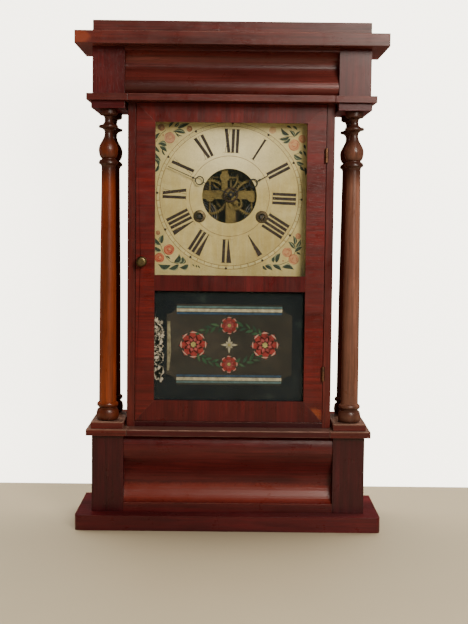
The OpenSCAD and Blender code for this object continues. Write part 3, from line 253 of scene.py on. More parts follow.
RUBBED_ORANGE = (0.25, 0.060, 0.015)
RUBBED_RED = (0.21, 0.042, 0.018)
SWEEP_WEAR_AND_SHEEN = (0.155, 0.022, 0.011)
DUSTY = (0.19, 0.115, 0.082)
TOP_FACE = (0.5, 0.12, 0.002)
SPOTS = {
    "cornice_board": wear_and_sheen_spot((-0.187, -0.063, 0.611), (0.02, 0.02, 0.012), RUBBED_RED, 0.7),
    "door_stile_right": wear_and_sheen_spot((0.108, -0.0195, 0.141), (0.016, 0.02, 0.014), RUBBED_ORANGE, 0.45),
    # Base ogee: a lighter band along the lower sweep, partly worn and partly a painted highlight
    "base_ogee": wear_and_sheen_spot((0.0, -0.04, 0.042), (0.6, 0.3, 0.016), SWEEP_WEAR_AND_SHEEN, 0.6),
    "column_plinths": wear_and_sheen_spot((-0.02, -0.03, 0.1335), TOP_FACE, DUSTY, 0.55),
    "shelf_ends": wear_and_sheen_spot((0.0, -0.03, SHELF_TOP_Z), TOP_FACE, DUSTY, 0.5),
    "shelf_centre": wear_and_sheen_spot((0.0, -0.03, SHELF_TOP_Z), TOP_FACE, DUSTY, 0.35),
}


def bare_wood(name, axis, colour, seed):
    """Unfinished softwood inside and behind the case: growth rings, dust and knots of stain."""
    g = Graph(name)
    shift = (seed * 0.311, seed * 0.157, seed * 0.233)
    rings = g.noise(g.mapped(along(axis, 1.6, 34.0), shift), 1.0, 3.0, 1.4)
    fibres = g.noise(g.mapped(along(axis, 24.0, 700.0), shift), 1.0, 4.0)
    stains = g.noise(g.mapped((11.0, 11.0, 11.0), shift), 1.0, 5.0, 0.8)
    base = g.ramp(rings, [
        (0.36, scaled(colour, 0.5)), (0.46, colour),
        (0.56, scaled(colour, 0.6)), (0.66, scaled(colour, 1.3))])
    dusty = g.mix(g.span(stains, 0.42, 0.66, 0.0, 0.7), base, scaled(colour, 0.38))
    lined = g.mix(g.span(fibres, 0.4, 0.7, 0.0, 0.35), dusty, scaled(colour, 0.4))
    g.bump(g.maths("ADD", fibres, g.maths("MULTIPLY", rings, 0.5)), 0.4, 0.0004)
    return g.finish(lined, g.span(fibres, 0.3, 0.7, 0.62, 0.82))


ARBOR_STEEL = (0.085, 0.075, 0.065)
# A great wheel's arbor is steel where it stands out in front of this depth
ARBOR_FROM_Y = 0.004
ARBOR_BLEND = 0.0005


def metal(name, colour, dark, seed, roughness=0.32, tarnish=0.5, steel_front=False):
    """Old metal: fine file marks, darker tarnish in clouds and a few spots."""
    g = Graph(name)
    shift = (seed * 0.41, seed * 0.27, seed * 0.13)
    clouds = g.noise(g.mapped((55.0, 55.0, 55.0), shift), 1.0, 5.0, 0.7)
    spots = g.noise(g.mapped((420.0, 420.0, 420.0), shift), 1.0, 2.0)
    marks = g.noise(g.mapped((150.0, 2400.0, 900.0), shift), 1.0, 3.0)
    low = 0.75 - tarnish * 0.5
    aged = g.mix(g.span(clouds, low - 0.15, low + 0.15, 0.0, 0.9), colour, dark)
    spotted = g.mix(g.span(spots, 0.6, 0.72, 0.0, 0.7), aged, scaled(dark, 0.5))
    if steel_front:
        depth = g.part(g.coords, "Y")
        spotted = g.mix(g.span(depth, ARBOR_FROM_Y, ARBOR_FROM_Y - ARBOR_BLEND), spotted, ARBOR_STEEL)
    rough = g.maths("ADD", g.span(clouds, 0.35, 0.65, roughness - 0.08, roughness + 0.2),
                    g.span(marks, 0.35, 0.65, 0.0, 0.1))
    g.bump(g.maths("ADD", marks, spots), 0.12, 0.0001)
    return g.finish(spotted, rough, Metallic=1.0)


UNDER_COAT = (0.50, 0.40, 0.16)


def paint(name, colour, seed, variation=0.35, roughness=0.5, rub=0.0, under=UNDER_COAT, shine=0.2):
    """Thin brushed oil paint, uneven in depth, rubbed through to what lies under it."""
    g = Graph(name)
    shift = (seed * 0.53, seed * 0.29, seed * 0.17)
    depth = g.noise(g.mapped((160.0, 160.0, 160.0), shift), 1.0, 4.0, 0.5)
    strokes = g.noise(g.mapped((900.0, 200.0, 420.0), shift), 1.0, 3.0, 0.3)
    deep = scaled(colour, 1.0 - variation)
    tone = g.mix(g.span(depth, 0.3, 0.7), deep, scaled(colour, 1.0 + variation))
    lined = g.mix(g.span(strokes, 0.35, 0.7, 0.0, 0.3), tone, scaled(colour, 0.6))
    if rub > 0:
        lined = g.mix(g.span(strokes, 0.72 - rub, 0.8 - rub, 0.0, 0.8), lined, under)
    g.bump(strokes, 0.15, 0.0001)
    rough = g.span(depth, 0.3, 0.7, roughness - 0.08, roughness + 0.12)
    return g.finish(lined, rough, Specular_IOR_Level=shine)


# ---------------------------------------------------------------- wooden parts

RED_MAHOGANY = (0.115, 0.0090, 0.0065)
DEEP_MAHOGANY = (0.082, 0.0066, 0.0080)
LOW_MAHOGANY = (0.082, 0.0060, 0.0062)
BLOCK_MAHOGANY = (0.048, 0.0048, 0.0065)
BROWN_MAHOGANY = (0.106, 0.0135, 0.0095)
FRIEZE_MAHOGANY = (0.098, 0.0185, 0.0140)
BASE_MAHOGANY = (0.086, 0.0090, 0.0085)
COLUMN_BROWN = (0.215, 0.0370, 0.0075)
# Right front column painted greyer and paler than the left: painted sheen from the light on that side
COLUMN_SHEEN_GREY = (0.190, 0.0800, 0.0480)
# Rear columns painted dark: painted shade behind the front columns
COLUMN_REAR_SHADED = (0.070, 0.0150, 0.0060)
PINE = (0.24, 0.135, 0.055)

WOODS = {
    "base_board": ("x", DEEP_MAHOGANY, 0.25),
    "base_blocks": ("z", BLOCK_MAHOGANY, 0.3),
    "base_ogee": ("x", BASE_MAHOGANY, 0.2),
    "shelf_ends": ("x", BROWN_MAHOGANY, 0.25),
    "shelf_centre": ("x", DEEP_MAHOGANY, 0.25),
    "column_plinths": ("x", BROWN_MAHOGANY, 0.3),
    "column_front_left": ("z", COLUMN_BROWN, 0.3),
    "column_front_right": ("z", COLUMN_SHEEN_GREY, 0.3),
    "column_rear_left": ("z", COLUMN_REAR_SHADED, 0.3),
    "column_rear_right": ("z", COLUMN_REAR_SHADED, 0.3),
    "column_caps": ("x", DEEP_MAHOGANY, 0.3),
    "band_ends": ("x", FRIEZE_MAHOGANY, 0.25),
    "band_centre": ("x", FRIEZE_MAHOGANY, 0.25),
    "frieze_blocks": ("z", BASE_MAHOGANY, 0.35),
    "frieze_ogee": ("x", FRIEZE_MAHOGANY, 0.2),
    "cornice_board": ("x", FRIEZE_MAHOGANY, 0.3),
    "cap_board": ("x", FRIEZE_MAHOGANY, 0.3),
    "case_side_left": ("z", BROWN_MAHOGANY, 0.25),
    "case_side_right": ("z", BROWN_MAHOGANY, 0.25),
    "case_bottom_rail": ("x", BLOCK_MAHOGANY, 0.25),
    "door_stile_left": ("x", RED_MAHOGANY, 0.45),
    "door_stile_right": ("x", RED_MAHOGANY, 0.45),
    "door_top_rail": ("z", RED_MAHOGANY, 0.5),
    "door_middle_rail": ("z", LOW_MAHOGANY, 0.5),
    "door_bottom_rail": ("z", LOW_MAHOGANY, 0.5),
    "glazing_strips": ("z", DEEP_MAHOGANY, 0.2),
}
BARE_WOODS = {"backboard": "z", "dial_strips": "z", "movement_blocks": "z"}
# Tints of the worn edges: rubbed polish, and bare wood on the ledges. They show on what faces up,
# partly as worn wood and partly as a painted highlight
EDGE_RUBBED_AND_LIT = (0.20, 0.065, 0.042)
EDGE_BARE_AND_LIT = (0.44, 0.27, 0.20)
LIT_BARE_EDGES = ("shelf_ends", "shelf_centre", "column_plinths")
EDGE_GLOSS = 0.38
# Width of the worn, rounded edges of the boards in millimetres
EDGE_WIDTH = {"base_board": 1.0, "cornice_board": 0.8, "cap_board": 0.8, "shelf_ends": 0.8,
              "shelf_centre": 0.8, "band_ends": 0.6, "band_centre": 0.6, "column_plinths": 0.7}
EDGE_DEFAULT = 0.3
EDGE_FROM_ANGLE = math.radians(40)
WELD_REACH = 0.000002


def soften(obj, width_mm):
    """Rounds the sharp edges of a piece by modifiers: its faces are joined, then bevelled."""
    weld = obj.modifiers.new("joined_faces", "WELD")
    weld.merge_threshold = WELD_REACH
    bevel = obj.modifiers.new("worn_edges", "BEVEL")
    bevel.width = width_mm * MM
    bevel.segments = 2
    bevel.limit_method = "ANGLE"
    bevel.angle_limit = EDGE_FROM_ANGLE
    bevel.material = 1
    bevel.harden_normals = False


def dress(node, *materials):
    """Gives a CAD node its materials: the first for its faces, the second for its worn edges."""
    slots = NODES[node].data.materials
    slots.clear()
    for material in materials:
        slots.append(material)


def dress_woods():
    for seed, (node, (axis, colour, figure)) in enumerate(WOODS.items()):
        turned_part = node.startswith("column_") and node not in ("column_plinths", "column_caps")
        extra = turned_stain_and_shade if turned_part else SPOTS.get(node)
        face = wood("wood_" + node, axis, colour, seed, figure, extra=extra)
        # Edge tint shown on upward bevels: partly worn wood, partly painted highlight
        rubbed = EDGE_BARE_AND_LIT if node in LIT_BARE_EDGES else EDGE_RUBBED_AND_LIT
        edge = wood("edge_" + node, axis, colour, seed, figure, EDGE_GLOSS, wear_and_light_tint=rubbed)
        dress(node, face, edge)
        if not turned_part:
            soften(NODES[node], EDGE_WIDTH.get(node, EDGE_DEFAULT))
    for seed, (node, axis) in enumerate(BARE_WOODS.items()):
        dress(node, bare_wood("pine_" + node, axis, PINE, seed))


# ---------------------------------------------------------------- metal parts

BRASS = (0.30, 0.225, 0.070)
BRASS_DARK = (0.085, 0.060, 0.024)
OLD_BRASS = (0.20, 0.155, 0.065)
OLD_BRASS_DARK = (0.075, 0.052, 0.03)
BRONZE = (0.075, 0.045, 0.032)
BRONZE_DARK = (0.035, 0.022, 0.018)
GREAT_WHEELS = ("time_great_wheel", "strike_great_wheel")
STEEL = (0.34, 0.34, 0.35)
STEEL_DARK = (0.10, 0.085, 0.075)
IRON = (0.09, 0.09, 0.09)
IRON_RUST = (0.05, 0.035, 0.03)
HINGE_BRASS = (0.20, 0.095, 0.050)
HAND_BLACK = (0.012, 0.011, 0.013)

BRASS_NODES = [
    "front_plate", "back_plate", "plate_pillars", "centre_arbor", "minute_wheel",
    "time_great_wheel", "time_second_wheel", "third_wheel", "escape_wheel",
    "strike_great_wheel", "strike_second_wheel", "strike_fly", "pendulum_bob", "latch_tongue"]
DARK_BRASS_NODES = ["winding_grommets", "door_knob"]
BRONZE_NODES = ["hour_wheel"]
HINGE_NODES = ["hinge_case_halves", "hinge_door_halves"]
STEEL_NODES = ["screws", "verge", "pendulum_rod", "hammer", "gong", "mainsprings"]


def dress_metals():
    for seed, node in enumerate(BRASS_NODES):
        dress(node, metal("brass_" + node, BRASS, BRASS_DARK, seed, 0.34, 0.6, node in GREAT_WHEELS))
    for seed, node in enumerate(DARK_BRASS_NODES):
        dress(node, metal("old_brass_" + node, OLD_BRASS, OLD_BRASS_DARK, seed, 0.36, 0.7))
    for seed, node in enumerate(BRONZE_NODES):
        dress(node, metal("bronze_" + node, BRONZE, BRONZE_DARK, seed, 0.4, 0.7))
    for seed, node in enumerate(HINGE_NODES):
        dress(node, metal("hinge_" + node, HINGE_BRASS, BRONZE, seed, 0.4, 0.5))
    for seed, node in enumerate(STEEL_NODES):
        dress(node, metal("steel_" + node, STEEL, STEEL_DARK, seed, 0.34, 0.6))
    dress("gong_block", metal("iron_block", IRON, IRON_RUST, 3, 0.6, 0.7))
    black = paint("hand_black", HAND_BLACK, 2, 0.4, 0.35)
    for node in ("minute_hand", "hour_hand"):
        dress(node, black)


# ---------------------------------------------------------------- glass and dial ground

def pane_glass(name):
    """Old window glass: nearly clear, a little green, with slow waves in its surface."""
    g = Graph(name)
    waves = g.noise(g.mapped((14.0, 14.0, 5.0)), 1.0, 2.0, 0.8)
    g.bump(waves, 0.25, 0.002)
    smears = g.noise(g.mapped((30.0, 30.0, 60.0)), 1.0, 4.0, 1.0)
    g.put(g.bsdf.inputs["Alpha"], g.span(smears, 0.35, 0.8, 0.05, 0.12))
    return g.finish((0.05, 0.07, 0.06), 0.05, Specular_IOR_Level=0.8)


DIAL_CREAMS = [(0.3, (0.42, 0.33, 0.11)), (0.5, (0.55, 0.45, 0.17)), (0.7, (0.63, 0.54, 0.25))]
# The dial's paler patch above the hands, a painted highlight: its scale, and the offset that puts it
# there
HIGHLIGHT_SCALE = (11.0, 11.0, 16.0)
HIGHLIGHT_ABOVE = 0.052
HIGHLIGHT_AT = (-HIGHLIGHT_SCALE[0] * DIAL_X, 0.0, -HIGHLIGHT_SCALE[2] * (DIAL_Z + HIGHLIGHT_ABOVE))


def dial_ground():
    """Cream paint on sheet metal: yellowed, mottled, rubbed and finely crazed, with a painted
    highlight above the hands.
    """
    g = Graph("dial_cream")
    clouds = g.noise(g.mapped((14.0, 14.0, 14.0)), 1.0, 5.0, 0.6)
    mottle = g.noise(g.mapped((120.0, 120.0, 120.0)), 1.0, 4.0, 0.4)
    wiping = g.noise(g.mapped((260.0, 60.0, 24.0)), 1.0, 4.0, 0.4)
    specks = g.noise(g.mapped((900.0, 900.0, 900.0)), 1.0, 1.0)
    crazing = g.add("ShaderNodeTexVoronoi", {"Vector": g.mapped((260.0, 260.0, 260.0)), "Scale": 1.0},
                    feature="DISTANCE_TO_EDGE").outputs["Distance"]
    base = g.ramp(clouds, DIAL_CREAMS)
    worn = g.mix(g.span(mottle, 0.35, 0.75, 0.0, 0.35), base, (0.38, 0.28, 0.09))
    wiped = g.mix(g.span(wiping, 0.45, 0.75, 0.0, 0.28), worn, (0.66, 0.59, 0.36))
    # Painted highlight: a paler patch above the hands
    patch = g.ball(HIGHLIGHT_SCALE, HIGHLIGHT_AT)
    highlighted = g.mix(g.span(patch, 0.0, 0.8, 0.0, 0.75), wiped, (0.90, 0.82, 0.50))
    cracked = g.mix(g.span(crazing, 0.0, 0.05, 0.22, 0.0), highlighted, (0.22, 0.14, 0.05))
    spotted = g.mix(g.span(specks, 0.72, 0.8, 0.0, 0.5), cracked, (0.2, 0.13, 0.06))
    g.bump(g.maths("ADD", mottle, g.span(crazing, 0.0, 0.04)), 0.15, 0.0002)
    return g.finish(spotted, g.span(clouds, 0.3, 0.7, 0.42, 0.58), Specular_IOR_Level=0.25)


def dress_panes():
    dress("dial_glass", pane_glass("dial_pane"))
    dress("tablet_glass", pane_glass("tablet_pane"))
    dress("dial_plate", dial_ground())


# ---------------------------------------------------------------- flat painted shapes

def place(name, bm, material, body):
    mesh = bpy.data.meshes.new(name)
    bmesh.ops.recalc_face_normals(bm, faces=bm.faces)
    bm.to_mesh(mesh)
    bm.free()
    mesh.materials.append(material)
    obj = bpy.data.objects.new(name, mesh)
    bpy.context.scene.collection.objects.link(obj)
    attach(obj, body)
    return obj


def flat_shapes(name, outlines, y_back, y_front, material, body):
    """Thin closed plates in the XZ plane, one for each outline of (x, z) points in metres."""
    bm = bmesh.new()
    for outline in outlines:
        back = [bm.verts.new((x, y_back, z)) for x, z in outline]
        front = [bm.verts.new((x, y_front, z)) for x, z in outline]
        bm.faces.new(front)
        bm.faces.new(list(reversed(back)))
        for i in range(len(outline)):
            j = (i + 1) % len(outline)
            bm.faces.new((back[i], back[j], front[j], front[i]))
    return place(name, bm, material, body)


def flat_rings(name, rings, y_back, y_front, material, body, steps=144):
    """Thin closed rings in the XZ plane, each given as centre x, centre z, inner and outer radius."""
    bm = bmesh.new()
    turns = [2 * math.pi * k / steps for k in range(steps)]
    for cx, cz, inner, outer in rings:
        loops = []
        for radius, y in ((inner, y_back), (outer, y_back), (outer, y_front), (inner, y_front)):
            loops.append([bm.verts.new((cx + radius * math.cos(a), y, cz + radius * math.sin(a)))
                          for a in turns])
        for a in range(4):
            b = (a + 1) % 4
            for k in range(steps):
                m = (k + 1) % steps
                bm.faces.new((loops[a][k], loops[a][m], loops[b][m], loops[b][k]))
    return place(name, bm, material, body)


def shifted(outline, dx, dz):
    return [(x + dx, z + dz) for x, z in outline]


def turned(outline, angle):
    c, s = math.cos(angle), math.sin(angle)
    return [(x * c - z * s, x * s + z * c) for x, z in outline]


def stroke(a, b, width_a, width_b=None):
    """Outline of a straight brush stroke between two points, with its width at each end."""
    width_b = width_a if width_b is None else width_b
    way = Vector((b[0] - a[0], b[1] - a[1])).normalized()
    side = Vector((-way.y, way.x))
    return [(a[0] + side.x * width_a / 2, a[1] + side.y * width_a / 2),
            (a[0] - side.x * width_a / 2, a[1] - side.y * width_a / 2),
            (b[0] - side.x * width_b / 2, b[1] - side.y * width_b / 2),
            (b[0] + side.x * width_b / 2, b[1] + side.y * width_b / 2)]


def leaf(length, width, bend=0.0, steps=9):
    """Pointed leaf from the origin along +x, bent to one side."""
    upper, lower = [], []
    for i in range(steps + 1):
        t = i / steps
        half = width / 2 * math.sin(math.pi * t ** 0.8)
        middle = bend * length * t * t
        upper.append((length * t, middle + half))
        lower.append((length * t, middle - half))
    return lower + list(reversed(upper[1:-1]))


def blob(radius, lobes, depth, turn=0.0, squash=1.0, steps=40):
    """Round outline with soft lobes, for a blossom or a petal mass."""
    points = []
    for i in range(steps):
        a = 2 * math.pi * i / steps
        r = radius * (1 - depth * (0.5 + 0.5 * math.cos(lobes * a)))
        points.append((r * math.cos(a + turn), r * math.sin(a + turn) * squash))
    return points


def arc_stroke(radius, width, start, end, steps=14):
    """Crescent brush stroke round the origin, thin at both ends."""
    outer, inner = [], []
    for i in range(steps + 1):
        t = i / steps
        a = start + (end - start) * t
        half = width / 2 * math.sin(math.pi * t) + width * 0.06
        outer.append(((radius + half) * math.cos(a), (radius + half) * math.sin(a)))
        inner.append(((radius - half) * math.cos(a), (radius - half) * math.sin(a)))
    return outer + list(reversed(inner))


def scaled_shape(outline, factor):
    return [(x * factor, z * factor) for x, z in outline]


# ---------------------------------------------------------------- dial painting
# The print sits a little beside the hands' centre and is turned, as in the photograph.

PAINT_T = 0.00004
NUMERAL_INK = (0.034, 0.020, 0.014)
TRACK_INK = (0.17, 0.10, 0.040)
TRACK_PALE = (0.60, 0.52, 0.24)
# Places and widths in millimetres
PRINT_AT = (-1.9, -2.0)
PRINT_TURN = -math.radians(2.1)
CHAPTER_IN = 51.3
NUMERAL_IN = 55.5
NUMERAL_OUT = 85.5
TRACK_IN = 89.2
TRACK_OUT = 93.6
DOT_AT = 92.7
DOT_R = 1.7
DASH_HALF = 3.7
DASH_W = 2.4
CIRCLE_W = 0.6
STROKE_W = 4.0
I_FOOT_W = STROKE_W * 0.9
LONE_I_FOOT_W = 2.4
LONE_I_HEAD_W = 2.8
X_LEAN = 2.4
X_THIN_LEAN = 2.6
V_FOOT_W = 0.9
V_HEAD_W = STROKE_W * 1.55
HAIRLINE = 0.4
THIN_W = HAIRLINE * 1.6
SERIF_PAST = 0.6
ROMAN = ["XII", "I", "II", "III", "IIII", "V", "VI", "VII", "VIII", "IX", "X", "XI"]
ADVANCE = {"I": 5.6, "X": 8.8, "V": 8.0}


def numeral_strokes(text):
    """Strokes and thin lines of one numeral in millimetres, at twelve, its foot to the centre."""
    width = sum(ADVANCE[c] for c in text)
    thick, thin = [], []
    x = -width / 2
    for c in text:
        middle = x + ADVANCE[c] / 2
        if c == "I":
            thick.append(stroke((middle, NUMERAL_IN), (middle, NUMERAL_OUT), I_FOOT_W, STROKE_W))
        elif c == "X":
            foot, head = (middle + X_LEAN, NUMERAL_IN), (middle - X_LEAN, NUMERAL_OUT)
            thick.append(stroke(foot, head, STROKE_W))
            foot, head = (middle - X_THIN_LEAN, NUMERAL_IN), (middle + X_THIN_LEAN, NUMERAL_OUT)
            thin.append(stroke(foot, head, THIN_W))
        else:
            foot, head = (middle + 1.4, NUMERAL_IN), (middle - 0.6, NUMERAL_OUT)
            thick.append(stroke(foot, head, V_FOOT_W, V_HEAD_W))
            foot, head = (middle + 1.5, NUMERAL_IN), (middle + 3.2, NUMERAL_OUT)
            thin.append(stroke(foot, head, THIN_W))
        x += ADVANCE[c]
    for r in (NUMERAL_IN, NUMERAL_OUT):
        reach = width / 2 + SERIF_PAST
        thin.append(stroke((-reach, r), (reach, r), HAIRLINE))
    return thick, thin


def on_plate(outline_mm):
    """From millimetres round the hands' centre to places on the dial plate."""
    return shifted(scaled_shape(outline_mm, MM), DIAL_X, DIAL_Z)


def on_print(outline_mm, angle=0.0):
    """From millimetres round the printed centre, turned with the print."""
    return on_plate(shifted(turned(outline_mm, angle + PRINT_TURN), *PRINT_AT))


def lay_on_dial(name, shapes, material, level):
    return flat_shapes(name, shapes, DIAL_Y, DIAL_Y - PAINT_T * level, material, "case")


def paint_numerals():
    thick, thin = [], []
    for hour, text in enumerate(ROMAN):
        strokes, lines = numeral_strokes(text)
        if text == "I":
            strokes = [stroke((0, NUMERAL_IN), (0, NUMERAL_OUT), LONE_I_FOOT_W, LONE_I_HEAD_W)]
        angle = -math.radians(30 * hour)
        thick += [on_print(shape, angle) for shape in strokes]
        thin += [on_print(shape, angle) for shape in lines]
    ink = paint("numeral_black", NUMERAL_INK, 5, 0.5, 0.45, rub=0.06)
    lay_on_dial("dial_numerals", thick, ink, 1.0)
    thin_ink = paint("hairline_brown", TRACK_INK, 7, 0.5, 0.5, rub=0.2)
    lay_on_dial("dial_hairlines", thin, thin_ink, 0.8)


def paint_tracks():
    line = paint("track_brown", TRACK_INK, 8, 0.5, 0.5, rub=0.12)
    centre = on_print([(0, 0)])[0]
    circles = [(*centre, (r - CIRCLE_W / 2) * MM, (r + CIRCLE_W / 2) * MM)
               for r in (CHAPTER_IN, TRACK_IN, TRACK_OUT)]
    flat_rings("dial_circles", circles, DIAL_Y, DIAL_Y - PAINT_T * 0.5, line, "case")
    dashes, ticks, dots = [], [], []
    middle = (TRACK_IN + TRACK_OUT) / 2
    for minute in range(60):
        angle = -math.radians(6 * minute)
        half_turn = angle - math.radians(3)
        dash = stroke((-DASH_HALF, middle), (DASH_HALF, middle), DASH_W)
        dashes.append(on_print(dash, half_turn))
        ticks.append(on_print(stroke((0, TRACK_IN), (0, TRACK_OUT), HAIRLINE), angle))
        if minute % 5 == 0:
            dot = shifted(blob(DOT_R, 4, 0.16, math.pi / 4, 1.0, 16), 0, DOT_AT)
            dots.append(on_print(dot, angle))
    lay_on_dial("dial_dashes", dashes, paint("track_pale", TRACK_PALE, 4, 0.15, 0.5, rub=0.1), 0.4)
    lay_on_dial("dial_ticks", ticks, line, 0.5)
    lay_on_dial("dial_dots", dots, paint("dot_black", NUMERAL_INK, 6, 0.4, 0.45), 1.0)


# Corner sprays, from the hands' centre in mm. Leaves: foot x, z, tip x, z, width, bend.
CORNER_LEAVES = [
    (-82.5, 61.5, -93.5, 63.5, 5.2, -0.2), (-91.5, 60.5, -82.5, 54.0, 4.6, 0.12),
    (-91.5, 53.0, -97.5, 61.5, 2.8, 0.1), (-90.0, 42.0, -97.5, 52.5, 3.8, 0.12),
    (-97.0, 69.0, -91.5, 77.5, 3.0, 0.12), (-97.8, 46.0, -92.5, 35.5, 4.0, 0.14),
    (-92.5, 37.0, -97.6, 27.5, 3.2, 0.1), (-84.5, 49.0, -88.5, 57.5, 1.8, 0.1),
    (-58.5, 77.5, -74.0, 79.5, 4.8, -0.12), (-69.0, 83.5, -54.0, 90.0, 4.2, 0.05),
    (-73.0, 85.5, -67.0, 92.0, 3.2, -0.1), (-80.0, 84.5, -72.5, 92.5, 2.6, 0.1),
    (-62.5, 73.8, -72.5, 79.0, 1.2, 0.1), (-66.0, 72.0, -71.5, 79.5, 1.0, 0.1),
    (74.0, 76.5, 63.5, 85.0, 3.8, 0.15), (81.0, 74.5, 74.0, 82.5, 3.6, -0.12),
    (81.5, 75.0, 88.0, 81.5, 2.2, 0.1), (74.5, 75.0, 61.0, 71.5, 3.2, 0.14),
    (75.5, 72.5, 66.0, 66.5, 3.4, 0.12), (80.0, 51.5, 90.5, 46.5, 4.6, -0.14),
    (87.0, 56.5, 90.8, 52.0, 2.8, 0.0), (83.5, 42.8, 92.8, 40.0, 4.4, -0.14),
    (94.0, 36.0, 95.5, 26.0, 3.0, 0.1), (88.5, 38.0, 93.5, 31.5, 3.0, -0.1),
    (78.0, 88.0, 84.0, 83.0, 2.4, 0.1), (70.0, 88.0, 76.5, 85.0, 2.0, 0.1),
    (93.0, 65.0, 94.8, 59.0, 2.4, 0.0), (92.0, 57.0, 95.0, 50.0, 2.2, 0.1),
    (-88.8, -63.5, -86.5, -52.5, 5.4, 0.12), (-90.2, -65.5, -98.0, -56.0, 4.6, 0.12),
    (-89.0, -73.0, -98.0, -67.5, 4.8, 0.15), (-72.0, -88.0, -65.5, -77.5, 7.2, -0.3),
    (-64.0, -89.5, -61.0, -80.5, 6.0, -0.25), (-76.5, -91.5, -92.0, -90.5, 5.0, 0.18),
    (-65.8, -90.2, -78.5, -96.0, 5.4, 0.14), (-53.5, -90.2, -64.5, -94.2, 5.2, 0.18),
    (-83.0, -79.5, -77.0, -83.5, 1.8, 0.1), (-44.0, -90.5, -42.5, -94.0, 1.4, 0.0),
    (-48.5, -89.5, -46.0, -92.5, 1.2, 0.0), (-41.5, -91.0, -38.8, -94.8, 1.4, 0.0),
    (83.2, -63.2, 81.0, -52.0, 3.8, -0.12), (82.8, -68.5, 75.0, -59.5, 4.2, -0.1),
    (84.6, -66.5, 90.2, -57.0, 3.8, -0.1), (83.2, -72.5, 92.5, -66.0, 4.2, 0.12),
    (85.0, -73.0, 90.5, -75.5, 2.2, 0.0), (59.4, -86.5, 64.2, -74.5, 5.8, 0.14),
    (56.0, -86.5, 56.6, -78.8, 3.4, 0.18), (45.0, -90.2, 54.2, -96.0, 5.0, 0.14),
    (42.0, -90.5, 47.5, -95.8, 2.6, -0.1), (55.0, -89.5, 66.0, -96.2, 4.8, 0.12),
    (67.0, -92.0, 81.8, -94.6, 5.0, 0.14), (72.0, -88.5, 78.5, -90.5, 2.4, 0.1),
]
CORNER_STEMS = [
    [(-96.0, 66.0), (-93.5, 71.5), (-89.0, 77.0), (-83.5, 81.2)],
    [(-74.0, 80.0), (-66.0, 79.6), (-58.5, 77.5)],
    [(89.5, 58.0), (86.0, 53.5), (80.0, 51.5)],
    [(62.0, 71.8), (70.0, 74.8), (81.0, 74.4)],
    [(-90.5, -63.2), (-87.0, -72.5), (-82.5, -81.0), (-76.5, -87.0), (-69.0, -89.2), (-62.0, -87.5)],
    [(55.0, -89.4), (64.8, -89.0), (75.0, -85.0), (80.0, -79.0), (83.8, -72.5), (83.8, -63.5)],
]
# Blossoms: x, z, radius, tint
BLOSSOMS = [
    (-78.8, -71.2, 7.0, "coral"), (-91.0, -81.8, 6.4, "coral"), (-93.0, -49.8, 3.0, "umber"),
    (73.3, -73.1, 6.4, "peach"), (81.8, -82.0, 6.8, "peach"), (87.2, -52.0, 3.8, "peach"),
    (80.2, 64.0, 7.4, "peach"), (90.6, 71.8, 5.2, "peach"), (52.5, 82.5, 4.6, "faded"),
    (-78.8, 71.6, 7.3, "blush"), (-53.6, 83.2, 3.9, "umber"), (-89.5, 84.5, 4.6, "umber"),
    (-87.2, 74.8, 1.1, "umber"), (68.2, -84.0, 1.1, "umber"),
]
BLOSSOM = {
    "coral": (0.50, 0.150, 0.070), "peach": (0.52, 0.255, 0.115), "blush": (0.48, 0.250, 0.140),
    "umber": (0.34, 0.165, 0.075), "faded": (0.56, 0.36, 0.17)}
BLOSSOM_EDGE = {
    "coral": (0.36, 0.042, 0.022), "peach": (0.40, 0.140, 0.060), "blush": (0.41, 0.175, 0.095),
    "umber": (0.24, 0.090, 0.045), "faded": (0.52, 0.30, 0.15)}
# Ring strokes of a blossom, as shares of its radius: radius, width. Then start and sweep.
ROSE_STROKES = [
    (0.90, 0.16, 0.3, 3.2), (0.90, 0.13, 3.9, 2.0), (0.60, 0.20, 2.2, 2.6),
    (0.56, 0.13, 5.3, 1.7), (0.28, 0.17, 0.6, 2.8)]
BLOSSOM_HEART = (0.54, 0.33, 0.13)
FLOWER_LEAF = (0.030, 0.046, 0.026)
FLOWER_STEM = (0.095, 0.095, 0.045)
LEAF_LIGHT = (0.24, 0.27, 0.15)
VEINED_FROM = 3.0
CORNER_SEED = 7


def spray_leaf(x0, z0, x1, z1, width, bend):
    """A bent leaf from its foot to its tip."""
    length = math.hypot(x1 - x0, z1 - z0)
    heading = math.atan2(z1 - z0, x1 - x0)
    points = leaf(length * 1.06, width * 1.22)
    bowed = [(x, z + bend * 4 * x * (length - x) / length) for x, z in points]
    return shifted(turned(bowed, heading), x0, z0)


def rose(x, z, radius, turn):
    """Body, ring-shaped brush strokes and pale heart of one blossom."""
    body = shifted(blob(radius, 5, 0.06, turn), x, z)
    rings = []
    for ring, width, start, sweep in ROSE_STROKES:
        arc = arc_stroke(radius * ring, radius * width, turn + start, turn + start + sweep)
        rings.append(shifted(arc, x, z))
    spot = blob(radius * 0.24, 3, 0.3, turn + 1.0, 0.7)
    heart = shifted(spot, x + radius * 0.12, z + radius * 0.08)
    return body, rings, heart


